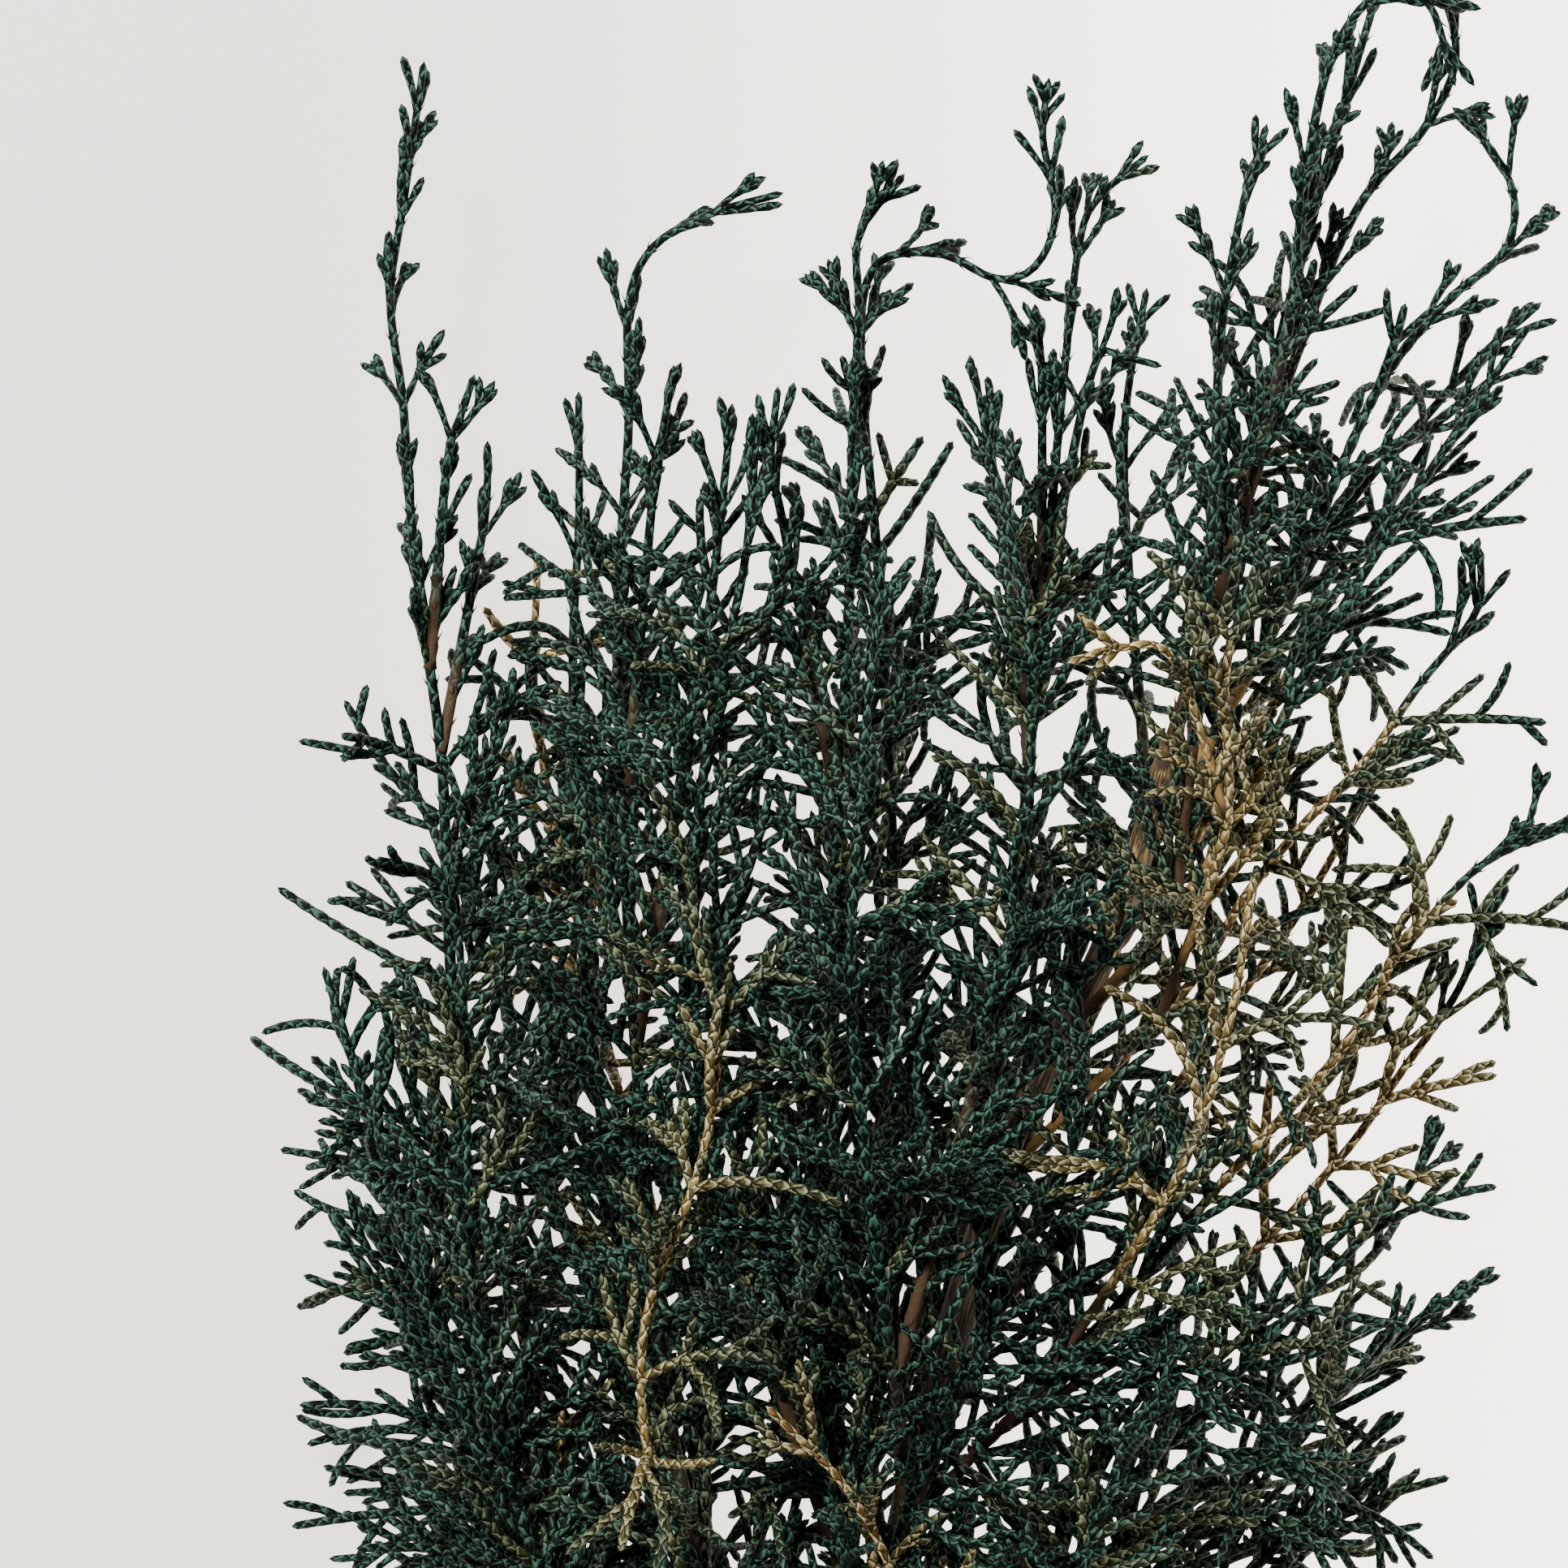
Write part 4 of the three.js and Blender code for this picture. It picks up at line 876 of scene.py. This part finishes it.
class Surface:
    """A material made of nodes, with a short way to add each kind of node. Sockets and plain values mix."""

    def __init__(self, name):
        self.material = bpy.data.materials.new(name)
        self.material.use_nodes = True
        self.tree = self.material.node_tree
        self.shader = self.tree.nodes["Principled BSDF"].inputs

    def put(self, socket, value):
        if isinstance(value, bpy.types.NodeSocket):
            self.tree.links.new(value, socket)
        elif isinstance(value, tuple):
            socket.default_value = (*value, 1)
        else:
            socket.default_value = value

    def math(self, operation, *values):
        node = self.tree.nodes.new("ShaderNodeMath")
        node.operation = operation
        for socket, value in zip(node.inputs, values):
            self.put(socket, value)
        return node.outputs[0]

    def between(self, value, low, high):
        """0 where the value is at low or under, 1 at high or over, and a smooth step between."""
        node = self.tree.nodes.new("ShaderNodeMapRange")
        node.interpolation_type = "SMOOTHSTEP"
        self.put(node.inputs["Value"], value)
        self.put(node.inputs["From Min"], low)
        self.put(node.inputs["From Max"], high)
        return node.outputs["Result"]

    def mix(self, share, first, second):
        """From the first colour to the second as share goes from 0 to 1."""
        node = self.tree.nodes.new("ShaderNodeMix")
        node.data_type = "RGBA"
        self.put(node.inputs["Factor"], share)
        self.put(node.inputs[6], first)
        self.put(node.inputs[7], second)
        return node.outputs[2]

    def attribute(self, name):
        node = self.tree.nodes.new("ShaderNodeAttribute")
        node.attribute_name = name
        return node.outputs["Fac"]

    def scales(self):
        """How far along and how far round a cord a point is, in whorls and in quarter turns."""
        place = self.tree.nodes.new("ShaderNodeUVMap")
        place.uv_map = "scales"
        split = self.tree.nodes.new("ShaderNodeSeparateXYZ")
        self.tree.links.new(place.outputs["UV"], split.inputs["Vector"])
        return split.outputs["X"], split.outputs["Y"]

    def place(self, axis):
        """Where a point is in the object's own space, along one axis."""
        place = self.tree.nodes.new("ShaderNodeTexCoord")
        split = self.tree.nodes.new("ShaderNodeSeparateXYZ")
        self.tree.links.new(place.outputs["Object"], split.inputs["Vector"])
        return split.outputs[axis]

    def noise(self, scale):
        node = self.tree.nodes.new("ShaderNodeTexNoise")
        place = self.tree.nodes.new("ShaderNodeTexCoord")
        self.tree.links.new(place.outputs["Object"], node.inputs["Vector"])
        node.inputs["Scale"].default_value = scale
        return node.outputs["Fac"]

    def noise_at(self, detail, **place):
        """Noise at a place given by its X, Y and Z, so that it can be drawn out along a surface."""
        node = self.tree.nodes.new("ShaderNodeTexNoise")
        join = self.tree.nodes.new("ShaderNodeCombineXYZ")
        for axis, (value, scale) in place.items():
            self.put(join.inputs[axis], self.math("MULTIPLY", value, scale))
        self.tree.links.new(join.outputs["Vector"], node.inputs["Vector"])
        node.inputs["Scale"].default_value = 1
        node.inputs["Detail"].default_value = detail
        return node.outputs["Fac"]

    def bump(self, height, strength, depth):
        node = self.tree.nodes.new("ShaderNodeBump")
        node.inputs["Strength"].default_value = strength
        node.inputs["Distance"].default_value = depth
        self.put(node.inputs["Height"], height)
        self.put(self.shader["Normal"], node.outputs["Normal"])


def leaf_material(name):
    """Scale leaves like tiles. Each has painted shade where the one before covers it,
    and a pale rim that is partly its own paler edge and partly painted highlight.
    Painted highlight also runs along the cords in streaks.
    """
    surface = Surface(name)
    u, v = surface.scales()
    # Painted highlight: pale streaks along each cord, which the tint sets in a place of its own
    streaks = surface.noise_at(STREAK_DETAIL, X=(u, STREAK_ALONG), Y=(v, STREAK_ROUND),
                               Z=(surface.attribute("tint"), STREAK_APART))
    highlight_streak = surface.between(streaks, *STREAK)
    wobble = surface.math("SUBTRACT", surface.noise(WOBBLE_SCALE), 0.5)
    u = surface.math("MULTIPLY_ADD", wobble, WOBBLE, u)
    right = surface.math("FRACT", surface.math("MULTIPLY", surface.math("ADD", u, v), 0.5))
    left = surface.math("FRACT", surface.math("MULTIPLY", surface.math("SUBTRACT", u, v), 0.5))
    covered = surface.math("MINIMUM", right, left)
    rim = surface.between(surface.math("MAXIMUM", right, left), *RIM)
    # Painted shade falls where the leaf before covers a scale's root; lit is 1 outside it
    lit = surface.between(covered, *COVERED)

    tint = surface.between(surface.attribute("tint"), -1, 1)
    patches = surface.between(surface.noise(PATCH_SCALE), *PATCHES)
    green = surface.mix(tint, GREEN_DARK, GREEN_FRESH)
    gold = surface.mix(tint, GOLD_BROWN, GOLD_STRAW)
    olive = surface.between(surface.attribute("gold"), *TO_OLIVE)
    golden = surface.between(surface.attribute("gold"), *TO_GOLD)
    woody = surface.between(surface.attribute("woody"), *TO_WOOD)
    body = surface.mix(golden, surface.mix(olive, green, OLIVE_LEAF), gold)
    body = surface.mix(surface.math("MULTIPLY", patches, PATCH_SHARE), body, PATCH)
    # The colour of the pale rims and of the painted highlight streaks
    rim_and_highlight_colour = surface.mix(golden, surface.mix(olive, RIM_AND_HIGHLIGHT_GREEN, RIM_AND_HIGHLIGHT_OLIVE), RIM_AND_HIGHLIGHT_GOLD)
    # Painted highlight in streaks along the cords
    body = surface.mix(surface.math("MULTIPLY", highlight_streak, HIGHLIGHT_STREAK_SHARE), body, rim_and_highlight_colour)
    # Pale rims: partly the scales' own paler edges and partly painted highlight
    body = surface.mix(surface.math("MULTIPLY", rim, RIM_SHARE), body, rim_and_highlight_colour)
    # Painted shade at the covered roots of the scale leaves
    body = surface.mix(lit, surface.mix(golden, CREVICE_SHADE_GREEN, CREVICE_SHADE_GOLD), body)
    surface.put(surface.shader["Base Color"],
                surface.mix(woody, body, surface.mix(golden, WOODY_GREEN, WOODY_GOLD)))
    rough, smoother = LEAF_ROUGHNESS
    surface.put(surface.shader["Roughness"], surface.math("MULTIPLY_ADD", rim, smoother - rough, rough))
    surface.put(surface.shader["Specular IOR Level"], LEAF_SHINE)
    surface.bump(covered, LEAF_BUMP, LEAF_BUMP_DEPTH)
    return surface.material


def bark_material():
    """Brown bark in long strips along the stem, darker below the top as painted shade."""
    surface = Surface("bark")
    u, v = surface.scales()
    strips = surface.noise_at(BARK_DETAIL, X=(u, BARK_ALONG), Y=(v, BARK_ROUND))
    height = surface.between(strips, *BARK_STRIPS)
    shaded_lower_bark = surface.mix(height, SHADED_BARK_DARK, SHADED_BARK_PALE)
    top = surface.mix(height, TOP_BARK_DARK, TOP_BARK_PALE)
    # Painted shade: the bark below the top is darker and turns to its own colour between two distances
    surface.put(surface.shader["Base Color"], surface.mix(surface.between(u, *TOP_BARK), shaded_lower_bark, top))
    surface.put(surface.shader["Roughness"], BARK_ROUGHNESS)
    surface.bump(height, BARK_BUMP, BARK_BUMP_DEPTH)
    return surface.material


def cut_wood_material():
    """The pale cut end, with a ring for each year."""
    surface = Surface("cut wood")
    x, y = surface.scales()
    squares = [surface.math("MULTIPLY", value, value) for value in (x, y)]
    away = surface.math("SQRT", surface.math("ADD", *squares))
    ring = surface.math("FRACT", surface.math("DIVIDE", away, YEAR_RING))
    wood = surface.mix(surface.between(ring, *YEAR_RING_EDGE), WOOD_PALE, WOOD_DARK)
    wood = surface.mix(surface.between(away, PITH, 0), wood, WOOD_DARK)
    surface.put(surface.shader["Base Color"], wood)
    surface.put(surface.shader["Roughness"], WOOD_ROUGHNESS)
    return surface.material


def tip_of_stem():
    """Where the solid stem's tip is, in millimetres: the middle of its last ring of corners."""
    vertices = frame["nodes"]["stem"].data.vertices
    corners = {tuple(round(value / MM, 3) for value in vertex.co) for vertex in vertices}
    ring = sorted(corners, key=lambda corner: corner[1])[-STEM_SOLID_SIDES:]
    return np.mean(ring, axis=0)


def build_camera():
    """A camera straight above, that sees the photograph's frame on the plane of the stem."""
    camera = bpy.data.objects.new("camera", bpy.data.cameras.new("camera"))
    bpy.context.scene.collection.objects.link(camera)
    middle = (np.array([0, PHOTO_SIDE / 2, PHOTO_HEIGHT]) + SHIFT) * MM
    camera.location = (middle[0], middle[1], middle[2] + CAMERA_AWAY * MM)
    camera.data.sensor_width = SENSOR
    camera.data.lens = SENSOR * CAMERA_AWAY / PHOTO_SIDE
    camera.data.clip_end = VIEW_END
    bpy.context.scene.camera = camera


def build_floor():
    """A pale floor that glows a little, more towards the right, as the photograph's wall does."""
    corners = [(-FLOOR, -FLOOR, 0), (FLOOR, -FLOOR, 0), (FLOOR, FLOOR, 0), (-FLOOR, FLOOR, 0)]
    mesh = bpy.data.meshes.new("floor")
    mesh.from_pydata(corners, [], [(0, 1, 2, 3)])
    floor = bpy.data.objects.new("floor", mesh)
    bpy.context.scene.collection.objects.link(floor)
    surface = Surface("pale floor")
    surface.put(surface.shader["Base Color"], FLOOR_COLOUR)
    surface.put(surface.shader["Roughness"], FLOOR_ROUGHNESS)
    surface.put(surface.shader["Emission Color"], FLOOR_GLOW)
    # Painted light: the glow grows towards the right as if light fell from there, and it washes out shadows
    # on the floor
    across = surface.between(surface.place("X"), *FLOOR_GLOW_ACROSS)
    dim, bright = FLOOR_GLOWS
    glow = surface.math("MULTIPLY_ADD", across, bright - dim, dim)
    surface.put(surface.shader["Emission Strength"], glow)
    mesh.materials.append(surface.material)


def build_room():
    """A dim room with pale walls low down, all round the floor."""
    world = bpy.data.worlds.new("pale room")
    world.use_nodes = True
    tree = world.node_tree
    place = tree.nodes.new("ShaderNodeTexCoord")
    split = tree.nodes.new("ShaderNodeSeparateXYZ")
    fade = tree.nodes.new("ShaderNodeMapRange")
    fade.interpolation_type = "SMOOTHSTEP"
    low, high = WALL_TOP
    ends = {"From Min": low, "From Max": high, "To Min": WALL_LIGHT, "To Max": ROOM_LIGHT}
    for name, value in ends.items():
        fade.inputs[name].default_value = value
    background = tree.nodes["Background"].inputs
    background["Color"].default_value = WALL_COLOUR
    tree.links.new(place.outputs["Generated"], split.inputs["Vector"])
    tree.links.new(split.outputs["Z"], fade.inputs["Value"])
    tree.links.new(fade.outputs["Result"], background["Strength"])
    bpy.context.scene.world = world


def build_lights():
    for name, place, size, power in LIGHTS:
        light = bpy.data.objects.new(name, bpy.data.lights.new(name, "AREA"))
        light.data.size = size
        light.data.energy = power
        light.location = place
        light.rotation_mode = "QUATERNION"
        light.rotation_quaternion = (-Vector(place)).to_track_quat("-Z", "Y")
        bpy.context.scene.collection.objects.link(light)


SHIFT = tip_of_stem() - np.array(STEM_PATH[-1])
build_camera()
build_floor()
build_room()
build_lights()

leaves = {"green": leaf_material("green leaves"), "gold": leaf_material("gold leaves")}
plant = grow_plant()
stem = plant.pop("stem")
stem_piece(stem["line"], [bark_material(), cut_wood_material()])
nodes = {branch["node"]: branch["leaf"] for branch in plant.values()}
for node, leaf in nodes.items():
    cords = Cords()
    for branch in plant.values():
        if branch["node"] == node:
            add_branch(cords, branch)
    make_piece(node + "_leaves", cords.mesh(node + "_leaves"), [leaves[leaf]], leaf + "_leaf", node)
